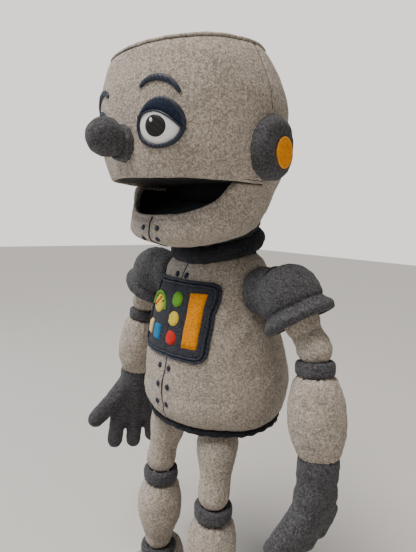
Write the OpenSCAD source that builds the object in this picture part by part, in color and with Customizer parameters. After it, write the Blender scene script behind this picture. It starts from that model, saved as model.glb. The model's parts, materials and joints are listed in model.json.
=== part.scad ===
// Full-body hand puppet of a friendly toy robot: fleece skins over soft foam.
// Millimetres. The robot stands on the XY plane and faces -Y; its left side is +X.
// Origin: bottom centre of the whole figure.

/* [Legs] */
// Distance of each foot, knee and ankle from the middle
leg_x = 51; // [44:1:58]
// Distance of each hip from the middle
hip_x = 45; // [38:1:52]
// Height of the hip ball
hip_z = 260; // [256:1:260]
// Height of the knee ball
knee_z = 195; // [188:1:200]
// Height of the ankle ball
ankle_z = 80; // [78:1:90]
// Radius of the hip ball
hip_ball_r = 22.5; // [20:0.5:22.5]
// Radius of the knee and ankle balls
leg_ball_r = 20; // [17:0.5:22]
// Radius of the swollen shin
shin_r = 31; // [27:1:34]
// Length of a foot from heel to toe
foot_len = 128; // [110:2:140]
// Width of a foot
foot_w = 68; // [60:2:74]
// Thickness of a sole
sole_t = 10; // [6:1:14]

/* [Arms] */
// Distance of the shoulder pivot from the middle
shoulder_x = 114; // [112:1:118]
// Height of the shoulder pivot
shoulder_z = 446; // [442:1:450]
// Distance of the elbow ball from the middle
elbow_x = 149; // [144:1:156]
// Height of the elbow ball
elbow_z = 394; // [388:1:400]
// Distance of the wrist ball from the middle
wrist_x = 166; // [160:1:172]
// Height of the wrist ball
wrist_z = 274; // [268:1:280]
// Radius of the shoulder ball
shoulder_ball_r = 19; // [16:0.5:20]
// Radius of the elbow ball
elbow_ball_r = 18; // [15:0.5:19]
// Radius of the wrist ball
wrist_ball_r = 21; // [18:0.5:22]
// Radius of the swollen forearm
forearm_r = 31; // [27:1:34]
// Radius of the turned-up shoulder cuff
cuff_r = 37; // [35:1:39]
// Radius of a finger
finger_r = 10; // [8:0.5:10]

/* [Torso] */
// Width of the belly
belly_w = 194; // [184:1:200]
// Depth of the belly
belly_d = 176; // [168:1:182]
// Thickness of the fleece and its backing
skin_t = 3; // [2:0.5:4]
// Thickness of the foam under the fleece
foam_t = 12; // [8:1:14]
// Width of the chest panel
panel_w = 100; // [90:1:108]
// Height of the middle of the chest panel
panel_z = 408; // [404:1:412]
// Height of the chest panel
panel_h = 84; // [76:1:90]

/* [Head] */
// Radius of the head at the cheeks
head_r = 106.5; // [102:0.5:110]
// Height of the upper lip
lip_z = 562; // [559:1:564]
// Top of the head, before the sloping top is cut
head_top = 712; // [708:1:716]
// Height of the middle of the seam round the top panel
top_seam_z = 690; // [687:1:692]
// Radius of the lower jaw
jaw_r = 82; // [78:1:84]
// How far the mouth is open at rest, in degrees
mouth_open = 22; // [20:1:23]
// How much further the mouth opens, in degrees
open_more = 2; // [1:1:3]
// How far the nose stands out from the middle of the figure
nose_reach = 140.5; // [136:0.5:142]
// Radius of the nose bulb
nose_r = 18.5; // [17:0.5:19]
// Radius of an ear
ear_r = 32; // [28:1:34]
// Distance of the outer face of an ear from the middle
ear_face_x = 115; // [112:1:118]

/* [Hidden] */
$fn = 96;
hull_fn = 32;
gap = 0.4;
join = 0.05;
nod_pivot = [0, 39, 505];
neck_tilt = 17;
top_slope = 8;
neck_clear_r = 62;
nod_most = 15;
jaw_hinge_y = 26;
jaw_y = 9;
leg_y = 3;
hip_y = 12;
arm_y = 37;
elbow_y = 41;
sleeve_top_z = 488;
base_z = 276;
cap_r = 35;
root_x = 74.2;
root_r = 13.6;
elbow_drop = 9;
elbow_band_h = 18;
hand_turn = 20;
leg_drop = 12;
leg_band_h = 18;
foot_back = leg_y + 46;
ear_c = [0, 4, 597];
eye_c = [46, 610];

fleece = [0.62, 0.60, 0.57];
charcoal = [0.25, 0.25, 0.27];
navy = [0.12, 0.17, 0.26];
lining = [0.03, 0.03, 0.035];
foam = [0.85, 0.82, 0.70];

// Cross-sections as [height, half width, half depth, middle in Y]
TORSO = [
    [283, 0.45 * belly_w, 0.45 * belly_d, 48], [297, 0.488 * belly_w, 0.493 * belly_d, 48],
    [325, 0.5 * belly_w, 0.515 * belly_d, 50.6], [358, 0.485 * belly_w, 0.48 * belly_d, 48.5],
    [390, 0.455 * belly_w, 0.43 * belly_d, 44.3], [424, 0.415 * belly_w, 0.38 * belly_d, 42.4],
    [447, 0.388 * belly_w, 0.34 * belly_d, 41.6], [466, 0.366 * belly_w, 0.3 * belly_d, 42],
    [490, 0.235 * belly_w, 0.225 * belly_d, 49]
];
HEAD = [
    [lip_z, 0.9 * head_r, 0.88 * head_r, -2], [572, 0.95 * head_r, 0.91 * head_r, -2.5],
    [592, 0.99 * head_r, 0.932 * head_r, -3.2], [640, head_r, 0.94 * head_r, -4.6],
    [672, 0.925 * head_r, 0.868 * head_r, -8.5], [699, 0.79 * head_r, 0.765 * head_r, -12.6],
    [head_top, 0.7 * head_r, 0.67 * head_r, -15.5]
];
SKIRT = [[532, 74, 72, 18], [lip_z, 0.9 * head_r, 0.88 * head_r, -2]];
SLEEVE = [[base_z, 50, 28, 84], [380, 46, 33, 61], [440, 37, 33, 50], [sleeve_top_z, 34, 34, 45]];

hip = [hip_x, hip_y, hip_z];
knee = [leg_x, leg_y, knee_z];
ankle = [leg_x, leg_y, ankle_z];
shoulder = [shoulder_x, arm_y, shoulder_z];
elbow = [elbow_x, elbow_y, elbow_z];
wrist = [wrist_x, arm_y, wrist_z];

// Value of column k of a section list at height z
function section(list, k, z) = lookup(z, [for (s = list) [s[0], s[k]]]);
// Front surface of a lofted body: Y at a given X and Z
function front(list, x, z) =
    section(list, 3, z) - section(list, 2, z) * sqrt(max(0, 1 - (x / section(list, 1, z)) ^ 2));
nose_base = [0, front(HEAD, 0, 622.5) - gap, 597];
function shrink(list, t) = [for (s = list) [s[0], s[1] - t, s[2] - t, s[3]]];
torso_front = function (x, z) front(TORSO, x, z);
head_front = function (x, z) front(HEAD, x, z);

function ellipse(rx, ry, n = 24) = [for (i = [0:n - 1]) [rx * cos(360 * i / n), ry * sin(360 * i / n)]];
function box_outline(w, h, r, n = 6) = [
    for (c = [[1, -1, -90], [1, 1, 0], [-1, 1, 90], [-1, -1, 180]], i = [0:n])
        [c[0] * (w / 2 - r) + r * cos(c[2] + 90 * i / n), c[1] * (h / 2 - r) + r * sin(c[2] + 90 * i / n)]
];
function arc(c, r, a0, a1, n = 16) = [for (i = [0:n]) let (a = a0 + (a1 - a0) * i / n) c + r * [cos(a), sin(a)]];
function moved(pts, c) = [for (p = pts) p + c];
// The same line with points no further apart than a step
function refined(pts, closed = true, step = 6) = [
    for (i = [0:len(pts) - (closed ? 1 : 2)])
        let (a = pts[i], b = pts[(i + 1) % len(pts)], m = max(1, ceil(norm(b - a) / step)))
            for (j = [0:m - 1]) a + (b - a) * j / m,
    if (!closed) pts[len(pts) - 1]
];

// Convex body through elliptical cross-sections
module loft(list) {
    hull()
        for (s = list)
            translate([0, s[3], s[0]]) scale([s[1], s[2], 1]) cylinder(r = 1, h = join, $fn = 64);
}

// Solid from a to b with its own +Z along that line
module along(a, b) {
    d = b - a;
    translate(a) rotate([0, acos(d[2] / norm(d)), atan2(d[1], d[0])]) children();
}

// Swollen round segment of a limb
module barrel(len, end_r, mid_r) {
    swell = mid_r - end_r;
    arc_r = (len * len / 4 + swell * swell) / (2 * swell);
    rotate_extrude()
        intersection() {
            square([mid_r, len]);
            translate([mid_r - arc_r, len / 2]) circle(arc_r, $fn = 360);
        }
}

// Ring of a limb, with rounded edges, from z = 0 down
module band(r, h, inner) {
    edge = 3;
    rotate_extrude()
        difference() {
            union() {
                translate([0, -h]) square([r - edge, h]);
                translate([0, edge - h]) square([r, h - 2 * edge]);
                for (z = [-edge, edge - h]) translate([r - edge, z]) circle(edge);
            }
            translate([0, -h - 1]) square([inner, h + 2]);
        }
}

// Thin closed pad lying on a curved front surface
module pad(shape, c, surf, lift, rings = 4) {
    outline = refined(shape);
    n = len(outline);
    size = 1 + rings * n;
    layer = function (up) concat([[c[0], surf(c[0], c[1]) - up, c[1]]],
        [for (k = [1:rings], p = outline)
            let (q = c + p * k / rings) [q[0], surf(q[0], q[1]) - up, q[1]]]);
    id = function (k, j) k == 0 ? 0 : 1 + (k - 1) * n + j % n;
    skin = [for (k = [0:rings - 1], j = [0:n - 1]) each (k == 0
        ? [[0, id(1, j + 1), id(1, j)]]
        : [[id(k, j), id(k, j + 1), id(k + 1, j)], [id(k, j + 1), id(k + 1, j + 1), id(k + 1, j)]])];
    sides = [for (j = [0:n - 1]) each
        [[id(rings, j) + size, id(rings, j), id(rings, j + 1)],
         [id(rings, j) + size, id(rings, j + 1), id(rings, j + 1) + size]]];
    outer = [for (f = skin) [f[0] + size, f[1] + size, f[2] + size]];
    inner = [for (f = skin) [f[0], f[2], f[1]]];
    polyhedron(concat(layer(lift[0]), layer(lift[1])), concat(outer, inner,
        [for (f = sides) [f[0], f[2], f[1]]]));
}

// Flat strip that follows a path on a curved front surface
module ribbon(line, half, surf, lift, closed = false) {
    path = refined(line, closed);
    n = len(path);
    tangent = function (i) let (a = closed ? path[(i + n - 1) % n] : path[max(i - 1, 0)],
        b = closed ? path[(i + 1) % n] : path[min(i + 1, n - 1)]) (b - a) / norm(b - a);
    at = function (i, side, up) let (t = tangent(i), p = path[i] + side * half * [-t[1], t[0]])
        [p[0], surf(p[0], p[1]) - up, p[1]];
    rings = [for (i = [0:n - 1]) each
        [at(i, 1, lift[0]), at(i, -1, lift[0]), at(i, -1, lift[1]), at(i, 1, lift[1])]];
    last = closed ? n - 1 : n - 2;
    walls = [for (i = [0:last], k = [0:3]) let (a = 4 * i, b = 4 * ((i + 1) % n), m = (k + 1) % 4) each
        [[a + k, a + m, b + k], [a + m, b + m, b + k]]];
    caps = closed ? [] : [[3, 2, 1], [3, 1, 0],
        [4 * n - 4, 4 * n - 3, 4 * n - 2], [4 * n - 4, 4 * n - 2, 4 * n - 1]];
    polyhedron(rings, concat(walls, caps));
}

module mirrored() {
    children();
    mirror([1, 0, 0]) children();
}

// ---- Torso ----

// Doubled cloth round the bore each shoulder root turns in
module shoulder_seat(extra)
    mirrored() translate([root_x - 2.5 - extra, arm_y, shoulder_z]) rotate([0, 90, 0])
        cylinder(r = root_r + 4 + extra, h = 20);

module torso_shell() color(fleece)
    difference() {
        union() {
            loft(TORSO);
            mirrored() translate([0, arm_y, shoulder_z]) rotate([0, 90, 0])
                cylinder(r = 22, h = shoulder_x - cap_r - gap);
        }
        mirrored() translate([root_x, arm_y, shoulder_z]) rotate([0, 90, 0]) cylinder(r = root_r + gap, h = 20);
        difference() {
            loft(shrink([for (s = TORSO) [s[0] - 0.5, s[1], s[2], s[3]]], skin_t));
            shoulder_seat(0);
        }
        translate([0, 49, 480]) cylinder(r = 38.5, h = 20);
        translate([-120, -70, 280]) cube([240, 240, 4]);
    }

module torso_foam() color(foam)
    difference() {
        loft([for (s = shrink(TORSO, skin_t + gap)) if (s[0] > 290 && s[0] < 470) s]);
        loft([for (s = shrink(TORSO, skin_t + foam_t)) if (s[0] > 290 && s[0] < 470)
            [s[0] + (s[0] < 300 ? -1 : s[0] > 460 ? 1 : 0), s[1], s[2], s[3]]]);
        loft(shrink(SLEEVE, -gap));
        shoulder_seat(gap);
    }

// Entry tube for the hand, from the base up to the neck
module hand_sleeve() color(lining)
    difference() {
        loft(SLEEVE);
        loft([for (s = shrink(SLEEVE, 2)) [s[0] + (s[0] == base_z ? -1 : s[0] == sleeve_top_z ? 1 : 0),
            s[1], s[2], s[3]]]);
    }

module base_panel() color(fleece)
    difference() {
        union() {
            translate([0, 48, 279]) scale([80, 71, 1]) cylinder(r = 1, h = 4);
            mirrored() translate(hip) sphere(hip_ball_r + 4);
        }
        mirrored() translate(hip) sphere(hip_ball_r + gap);
        translate([-120, -70, 200]) cube([240, 240, 79]);
        loft([for (s = shrink(SLEEVE, -gap)) [s[0] + (s[0] == base_z ? -1 : 0), s[1], s[2], s[3]]]);
    }

module hem_band() color(navy)
    translate([0, 48, base_z])
        difference() {
            scale([1, 0.9, 1]) cylinder(r = 88, h = 7.6);
            translate([0, 0, -1]) scale([1, 0.9, 1]) cylinder(r = 81, h = 11);
        }

// One rolled fold of the neck, lying square to the neck's own axis
module neck_fold(ring_r, tube_r, up) {
    translate(nod_pivot) rotate([neck_tilt, 0, 0]) translate([0, 0, up])
        rotate_extrude()
            difference() {
                translate([ring_r, 0]) circle(tube_r);
                translate([ring_r - 2 * tube_r, -tube_r]) square([1.5 * tube_r, 2 * tube_r]);
            }
}
module neck_fold_lower() color(charcoal)
    difference() {
        neck_fold(50, 10.5, -10);
        loft([for (s = TORSO) [s[0] + gap, s[1] + gap, s[2] + gap, s[3]]]);
    }
module neck_fold_upper() color(charcoal) neck_fold(46.5, 9.5, 11);

// ---- Chest panel and its appliqued controls ----

module chest_panel() color(charcoal)
    pad(box_outline(panel_w, panel_h, 8), [0, panel_z], torso_front, [0.6, 2.6], 6);
module panel_piping() color(navy)
    ribbon(moved(box_outline(panel_w + 4, panel_h + 4, 10, 8), [0, panel_z]), 1.8, torso_front,
        [2.9, 5.2], true);
module badge(outline, c) pad(outline, [c[0], panel_z + c[1]], torso_front, [3, 4.4], 3);
module gauge() {
    c = [-28, panel_z + 10];
    color("green") ribbon(arc(c, 17, 20, 150), 1.8, torso_front, [3, 4.6]);
    color("gold") pad(moved(ellipse(9, 7), [0, 0]), c + [-2, 4], torso_front, [3, 4.2], 3);
}
module button_green() color("green") badge(ellipse(9, 9), [6, 22]);
module button_yellow() color("gold") badge(ellipse(9, 9), [6, 0]);
module button_red() color("red") badge(ellipse(9, 9), [6, -22]);
module patch_cream() color("khaki") badge(box_outline(9, 18, 2), [-38, -18]);
module patch_blue() color("deepskyblue") badge(box_outline(14, 19, 2), [-20, -20]);
module patch_orange() color("orange") badge(box_outline(18, 62, 2), [32, 1]);
module body_rivets() color(navy)
    for (z = [458, 350, 328, 306], x = [-8, 8])
        pad(ellipse(2.6, 3.2, 16), [x, z], torso_front, [0.6, 2.2], 1);

// ---- Neck and head ----

// Room that the neck folds sweep inside the head as it nods; extra is added all round
module neck_space(extra = 0)
    for (a = [-nod_most, 0, nod_most])
        translate(nod_pivot) rotate([neck_tilt + a, 0, 0])
            translate([0, 0, -60]) cylinder(r = neck_clear_r + extra, h = 82 + extra);

// Everything below a plane through the top of the head, which falls towards the face
module under_top(drop) {
    translate([0, -14, top_seam_z - drop]) rotate([top_slope, 0, 0])
        translate([-130, -130, -200]) cube([260, 260, 200]);
}

module head_shell() color(fleece)
    difference() {
        union() {
            intersection() {
                loft(HEAD);
                under_top(0);
            }
            intersection() {
                loft(SKIRT);
                translate([-120, jaw_hinge_y + 3, 500]) cube([240, 100, 100]);
            }
        }
        loft([for (s = shrink(HEAD, skin_t)) [s[0] + (s[0] == lip_z ? -1 : s[0] == head_top ? 1 : 0),
            s[1], s[2], s[3]]]);
        loft([for (s = shrink(SKIRT, skin_t)) [s[0] + (s[0] == lip_z ? 1 : -1), s[1], s[2], s[3]]]);
        neck_space();
    }

module head_top_panel() color(fleece)
    intersection() {
        difference() {
            loft(HEAD);
            under_top(-gap);
        }
        under_top(-10);
    }

module head_foam() color(foam)
    difference() {
        intersection() {
            loft(shrink(HEAD, skin_t + gap));
            under_top(gap);
            translate([-130, -150, lip_z + 8]) cube(300);
        }
        intersection() {
            loft(shrink(HEAD, skin_t + foam_t));
            under_top(foam_t);
        }
        neck_space();
    }

// Half-round board that backs one side of the mouth
module mouth_board(r, z, t, back_y) {
    difference() {
        translate([0, -2, z]) scale([1, 0.97, 1]) cylinder(r = r, h = t);
        translate([-120, back_y, z - 1]) cube([240, 120, t + 2]);
    }
}
module mouth_roof() color(lining) mouth_board(0.9 * head_r - skin_t - 1, lip_z + 3.5, 3, jaw_hinge_y - 3);
// Flat stitched tube for a hand, open at the end nearest the hinge
module pocket(w, h, len, wall) {
    module outline(inset) {
        r = h / 2 - inset;
        for (x = [h / 2 - w / 2, w / 2 - h / 2]) translate([x, 0]) circle(r);
        translate([h / 2 - w / 2, -r]) square([w - h, 2 * r]);
    }
    rotate([90, 0, 0])
        difference() {
            linear_extrude(len) outline(0);
            translate([0, 0, -1]) linear_extrude(len - wall + 1) outline(wall);
        }
}
module finger_pocket() color(lining)
    translate([0, jaw_hinge_y - 8, lip_z + 21]) pocket(92, 28, 78, 2.5);

module nose() color(charcoal)
    translate(nose_base) rotate([90, 0, 0])
        rotate_extrude() {
            len = nose_base[1] - nose_r + nose_reach;
            polygon([[0, 0], [13.5, 0], [nose_r - 0.8, len - 3], [0, len - 3]]);
            intersection() {
                translate([0, len]) circle(nose_r);
                translate([0, len - 6]) square([nose_r, 6 + nose_r]);
            }
        }
module nose_collar() color(charcoal)
    translate(nose_base) rotate([90, 0, 0])
        rotate_extrude() polygon([[16.3, 0], [19, 0], [19.5, 3], [18.5, 7], [17, 8.5], [16.3, 7.5]]);

module ear() {
    difference() {
        translate(ear_c + [92, 0, 0]) rotate([0, 90, 0])
            rotate_extrude() {
                square([ear_r - 7, ear_face_x - 92]);
                square([ear_r, ear_face_x - 99]);
                translate([ear_r - 7, ear_face_x - 99]) circle(7);
            }
        translate([0, -6, 540]) cylinder(r = head_r + gap, h = 110);
    }
}
module ear_left() color(charcoal) ear();
module ear_right() color(charcoal) mirror([1, 0, 0]) ear();
module ear_discs() color("orange")
    mirrored() translate(ear_c + [ear_face_x + 0.2, 3, -4]) rotate([0, 90, 0]) cylinder(r = 15, h = 1.6);

module eye_rims() color(navy)
    mirrored() ribbon(moved(ellipse(19.5, 20.5, 32), eye_c), 2, head_front, [0.8, 2.6], true);
module eye_whites() color("white")
    mirrored() pad(ellipse(16.5, 17.5), eye_c, head_front, [0.8, 1.6], 5);
module eyelids() color(navy)
    mirrored() pad([for (a = [20:10:160]) [16 * cos(a), 17.5 * sin(a) - 9]], eye_c + [0, 9], head_front, [2.8, 3.6]);
module pupils() color(lining)
    mirrored() pad(ellipse(9, 11), eye_c + [-5, -2.5], head_front, [1.9, 2.5], 2);
module brows() color(navy)
    mirrored() ribbon(arc([43, 625.5], 24, 35, 130), 2, head_front, [0.8, 2.6]);

// ---- Jaw ----

// Places the jaw's own frame, rim level at the hinge, as far open as it rests
module at_jaw() translate([0, jaw_hinge_y, lip_z]) rotate([mouth_open, 0, 0]) children();
// The same room as the jaw meets it, a little more closed and fully open
module jaw_space() {
    for (a = [-4, open_more])
        translate([0, jaw_hinge_y, lip_z]) rotate([-a, 0, 0]) translate([0, -jaw_hinge_y, -lip_z])
            neck_space(0.6);
}
module bowl(r, depth) {
    rotate_extrude()
        intersection() {
            translate([0, -depth]) square([r, depth]);
            translate([r - 55, -3]) circle(55, $fn = 180);
        }
    translate([0, 0, -depth]) cylinder(r = r - 55 + 30, h = depth);
}
module jaw_shell() color(fleece)
    difference() {
        at_jaw() translate([0, jaw_y - jaw_hinge_y, -0.6]) bowl(jaw_r, 44);
        at_jaw() translate([0, jaw_y - jaw_hinge_y, 0.5]) bowl(jaw_r - 6, 44.5);
        translate([0, jaw_hinge_y, lip_z]) rotate([-open_more, 0, 0]) translate([-100, 0, -100])
            cube([200, 120, 130]);
        jaw_space();
    }
module mouth_floor() color(lining)
    difference() {
        at_jaw() translate([0, jaw_y - jaw_hinge_y, -11]) cylinder(r = jaw_r - 8, h = 3);
        at_jaw() translate([-100, -4, -40]) cube([200, 100, 60]);
        jaw_space();
    }
module thumb_pocket() color(lining)
    difference() {
        at_jaw() translate([0, -20, -23]) pocket(46, 21, 58, 2.5);
        jaw_space();
    }
module chin_rivets() color(navy)
    at_jaw() translate([0, jaw_y - jaw_hinge_y, 0])
        for (a = [-6, 6], z = [-12, -24])
            rotate([0, 0, a]) translate([0, -jaw_r + (z < -20 ? 3.8 : 0.3), z]) rotate([90 + (z < -20 ? 22 : 9), 0, 0])
                cylinder(r = 3, h = 1.6);

// ---- Arms, drawn for the left side ----

// Gathered root that turns in the side of the torso and carries the cap
module shoulder_root() {
    difference() {
        translate([root_x + gap, arm_y, shoulder_z]) rotate([0, 90, 0]) cylinder(r = root_r, h = 9);
        translate(shoulder) sphere(cap_r + gap);
    }
}
module shoulder_cap() {
    difference() {
        union() {
            translate(shoulder) sphere(cap_r);
            along(shoulder, elbow) {
                cylinder(r1 = cap_r - 1.5, r2 = cuff_r - 3, h = 26);
                translate([0, 0, 24]) rotate_extrude() translate([cuff_r - 5, 0]) circle(5);
            }
        }
        translate(shoulder) sphere(shoulder_ball_r + gap);
        along(shoulder, elbow) translate([0, 0, 8]) cylinder(r1 = 18.5, r2 = cuff_r - 6, h = 28);
    }
}
module upper_arm() {
    len = norm(elbow - shoulder);
    translate(shoulder) sphere(shoulder_ball_r);
    along(shoulder, elbow) {
        cylinder(r = 14.5, h = len);
        translate([0, 0, 18]) cylinder(r1 = 14.5, r2 = 18, h = 8);
        translate([0, 0, 26]) cylinder(r = 18, h = 10);
        translate([0, 0, 36]) cylinder(r1 = 18, r2 = 14.5, h = 8);
    }
    translate(elbow) sphere(elbow_ball_r);
}
module elbow_band() {
    difference() {
        along(elbow, wrist) translate([0, 0, elbow_drop + elbow_band_h]) band(20.5, elbow_band_h, 6);
        translate(elbow) sphere(elbow_ball_r + gap);
    }
}
module forearm() {
    start = elbow_drop + elbow_band_h + 0.2;
    difference() {
        along(elbow, wrist) translate([0, 0, start])
            barrel(norm(wrist - elbow) - start - 8, 21, forearm_r);
        translate(wrist) sphere(wrist_ball_r + gap);
    }
}
module finger(a, b, r = finger_r) {
    len = norm(b - a);
    along(a, b)
        rotate_extrude() {
            square([r, len]);
            for (y = [0, len])
                intersection() {
                    translate([0, y]) circle(r);
                    translate([0, y - r]) square([r, 2 * r]);
                }
        }
}
// Turns a hand about the line of the arm, thumb outwards
module turned(a) translate(wrist) rotate([0, 0, a]) translate(-wrist) children();
// Open hand: palm, three fingers that hang side by side, and a thumb to the front
module open_hand() {
    translate(wrist) {
        sphere(wrist_ball_r);
        translate([2, 2, -46]) scale([15, 33, 34]) sphere(1);
        along([0, 0, 0], [1, 0, -24]) cylinder(r1 = 17.5, r2 = 16, h = 24);
        for (i = [-1, 0, 1])
            finger([3, 25 * i + 2, -66 + 5 * abs(i)], [4, 31 * i + 2, -118 + 5 * abs(i)]);
        finger([1, -20, -34], [-2, -62, -68], 11.5);
    }
}
// Curled hand: fingers and thumb bend forward
module curled_hand() {
    translate(wrist) {
        sphere(wrist_ball_r);
        translate([1, 0, -44]) scale([17, 30, 34]) sphere(1);
        along([0, 0, 0], [1, 0, -24]) cylinder(r1 = 17.5, r2 = 16, h = 24);
        for (i = [-1, 0, 1]) {
            finger([0, 3 + 22 * i, -64], [-8, 24.5 * i, -92]);
            finger([-8, 24.5 * i, -92], [-30, 25 * i - 4, -102], finger_r - 0.8);
        }
        finger([0, -20, -50], [-12, -46, -80], 11);
    }
}
module shoulder_root_left() color(charcoal) shoulder_root();
module shoulder_root_right() color(charcoal) mirror([1, 0, 0]) shoulder_root();
module shoulder_cap_left() color(charcoal) shoulder_cap();
module shoulder_cap_right() color(charcoal) mirror([1, 0, 0]) shoulder_cap();
module upper_arm_left() color(fleece) upper_arm();
module upper_arm_right() color(fleece) mirror([1, 0, 0]) upper_arm();
module elbow_band_left() color(charcoal) elbow_band();
module elbow_band_right() color(charcoal) mirror([1, 0, 0]) elbow_band();
module forearm_left() color(fleece) forearm();
module forearm_right() color(fleece) mirror([1, 0, 0]) forearm();
module hand_left() color(charcoal) curled_hand();
module hand_right() color(charcoal) mirror([1, 0, 0]) turned(hand_turn) open_hand();

// ---- Legs, drawn for the left side ----

module thigh() {
    len = norm(knee - hip);
    translate(hip) sphere(hip_ball_r);
    along(hip, knee) {
        cylinder(r1 = 20, r2 = 16, h = len);
        cylinder(r = hip_ball_r - 0.1, h = 10);
        translate([0, 0, 10]) cylinder(r1 = hip_ball_r - 0.1, r2 = 18, h = len - 28);
    }
    translate(knee) sphere(leg_ball_r);
}
module leg_band(c, r) {
    difference() {
        translate(c - [0, 0, leg_drop]) band(r, leg_band_h, 6);
        translate(c) sphere(leg_ball_r + gap);
    }
}
module shin() {
    top = knee_z - leg_drop - leg_band_h - 0.2;
    translate([leg_x, leg_y, ankle_z]) {
        translate([0, 0, 8]) barrel(top - ankle_z - 8, 21, shin_r);
        cylinder(r = 16, h = 12);
        sphere(leg_ball_r);
    }
}
module ankle_band() leg_band(ankle, 24);
module knee_band() leg_band(knee, 22.5);
module foot_outline(inset) {
    r = foot_w / 2 - inset;
    translate([leg_x - r, foot_back - foot_len + foot_w / 2]) square([2 * r, foot_len - foot_w]);
    for (y = [foot_back - foot_w / 2, foot_back - foot_len + foot_w / 2])
        translate([leg_x, y]) circle(r);
}
module sole() linear_extrude(sole_t) foot_outline(0);
module foot() {
    difference() {
        hull() {
            translate([0, 0, sole_t + 0.2]) linear_extrude(join) foot_outline(1, $fn = hull_fn);
            translate([leg_x, foot_back - foot_len + foot_w / 2, 29]) scale([31, 31, 18]) sphere(1, $fn = hull_fn);
            translate([leg_x, leg_y, 56]) cylinder(r = 23, h = 0.8, $fn = hull_fn);
            translate([leg_x, foot_back - 26, 46]) sphere(24, $fn = hull_fn);
        }
        translate(ankle - [0, 0, leg_drop + leg_band_h + 0.2]) cylinder(r = 24.5, h = 60);
        translate(ankle) sphere(34);
    }
}
module thigh_left() color(fleece) thigh();
module thigh_right() color(fleece) mirror([1, 0, 0]) thigh();
module knee_band_left() color(charcoal) knee_band();
module knee_band_right() color(charcoal) mirror([1, 0, 0]) knee_band();
module shin_left() color(fleece) shin();
module shin_right() color(fleece) mirror([1, 0, 0]) shin();
module ankle_band_left() color(charcoal) ankle_band();
module ankle_band_right() color(charcoal) mirror([1, 0, 0]) ankle_band();
module foot_left() color(fleece) foot();
module foot_right() color(fleece) mirror([1, 0, 0]) foot();
module sole_left() color(charcoal) sole();
module sole_right() color(charcoal) mirror([1, 0, 0]) sole();

torso_shell();
torso_foam();
hand_sleeve();
base_panel();
hem_band();
neck_fold_lower();
chest_panel();
panel_piping();
gauge();
button_green();
button_yellow();
button_red();
patch_cream();
patch_blue();
patch_orange();
body_rivets();
neck_fold_upper();
head_shell();
head_foam();
head_top_panel();
mouth_roof();
finger_pocket();
nose();
nose_collar();
ear_left();
ear_right();
ear_discs();
eye_rims();
eye_whites();
eyelids();
pupils();
brows();
jaw_shell();
mouth_floor();
thumb_pocket();
chin_rivets();
shoulder_root_left();
shoulder_cap_left();
upper_arm_left();
elbow_band_left();
forearm_left();
hand_left();
shoulder_root_right();
shoulder_cap_right();
upper_arm_right();
elbow_band_right();
forearm_right();
hand_right();
thigh_left();
knee_band_left();
shin_left();
ankle_band_left();
foot_left();
sole_left();
thigh_right();
knee_band_right();
shin_right();
ankle_band_right();
foot_right();
sole_right();
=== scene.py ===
import json
import math

import bmesh
import bpy
import numpy as np
from mathutils import Matrix, Vector
from mathutils.bvhtree import BVHTree


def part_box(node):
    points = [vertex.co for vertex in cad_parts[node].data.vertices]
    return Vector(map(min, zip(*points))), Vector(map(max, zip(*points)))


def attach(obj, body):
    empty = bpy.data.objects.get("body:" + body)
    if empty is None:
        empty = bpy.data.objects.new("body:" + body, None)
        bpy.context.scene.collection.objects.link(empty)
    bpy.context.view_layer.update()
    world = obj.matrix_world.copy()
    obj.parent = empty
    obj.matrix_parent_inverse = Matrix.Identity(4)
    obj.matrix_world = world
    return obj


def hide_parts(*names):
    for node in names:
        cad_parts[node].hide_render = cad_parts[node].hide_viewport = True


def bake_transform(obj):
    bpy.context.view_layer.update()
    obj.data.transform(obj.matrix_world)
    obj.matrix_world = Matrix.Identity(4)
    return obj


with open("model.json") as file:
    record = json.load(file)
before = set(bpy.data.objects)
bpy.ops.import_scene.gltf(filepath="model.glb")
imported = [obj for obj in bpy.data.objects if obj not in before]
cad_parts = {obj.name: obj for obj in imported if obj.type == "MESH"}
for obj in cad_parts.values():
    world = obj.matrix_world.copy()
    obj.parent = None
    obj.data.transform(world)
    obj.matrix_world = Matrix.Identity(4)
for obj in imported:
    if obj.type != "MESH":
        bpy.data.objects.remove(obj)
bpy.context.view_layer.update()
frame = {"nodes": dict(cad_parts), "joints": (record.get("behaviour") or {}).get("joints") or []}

scene = bpy.context.scene
MM = 0.001
TAU = 2 * math.pi
SIDES = (("left", 1), ("right", -1))
PIVOT = {j["name"]: np.array(j["pos_m"]) for j in frame["joints"]}
HINGE = PIVOT["jaw_open"]
OPEN = math.radians(22)


# ---- Materials ----

def material(name, color, rough=0.9, sheen=0.0, spec=0.2):
    m = bpy.data.materials.new(name)
    m.use_nodes = True
    m.diffuse_color = (*color, 1)
    tree = m.node_tree
    shader = tree.nodes["Principled BSDF"]
    shader.inputs["Base Color"].default_value = (*color, 1)
    shader.inputs["Roughness"].default_value = rough
    shader.inputs["Specular IOR Level"].default_value = spec
    shader.inputs["Sheen Weight"].default_value = sheen
    shader.inputs["Sheen Roughness"].default_value = 0.45
    shader.inputs["Sheen Tint"].default_value = (*[0.4 + 0.6 * c for c in color], 1)
    return m, tree, shader


def node(tree, kind, vector=None, **values):
    n = tree.nodes.new(kind)
    for key, value in values.items():
        if hasattr(n, key):
            setattr(n, key, value)
        else:
            n.inputs[key.replace("_", " ")].default_value = value
    if vector is not None:
        tree.links.new(vector, n.inputs["Vector"])
    return n


def math_node(tree, operation, a, b):
    n = node(tree, "ShaderNodeMath", operation=operation)
    for i, v in enumerate((a, b)):
        if isinstance(v, (int, float)):
            n.inputs[i].default_value = v
        else:
            tree.links.new(v, n.inputs[i])
    return n.outputs[0]


def weighted(tree, *parts):
    """Sum of node outputs, each times its weight."""
    terms = [math_node(tree, "MULTIPLY", value, weight) for value, weight in parts]
    total = terms[0]
    for term in terms[1:]:
        total = math_node(tree, "ADD", total, term)
    return total


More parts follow.
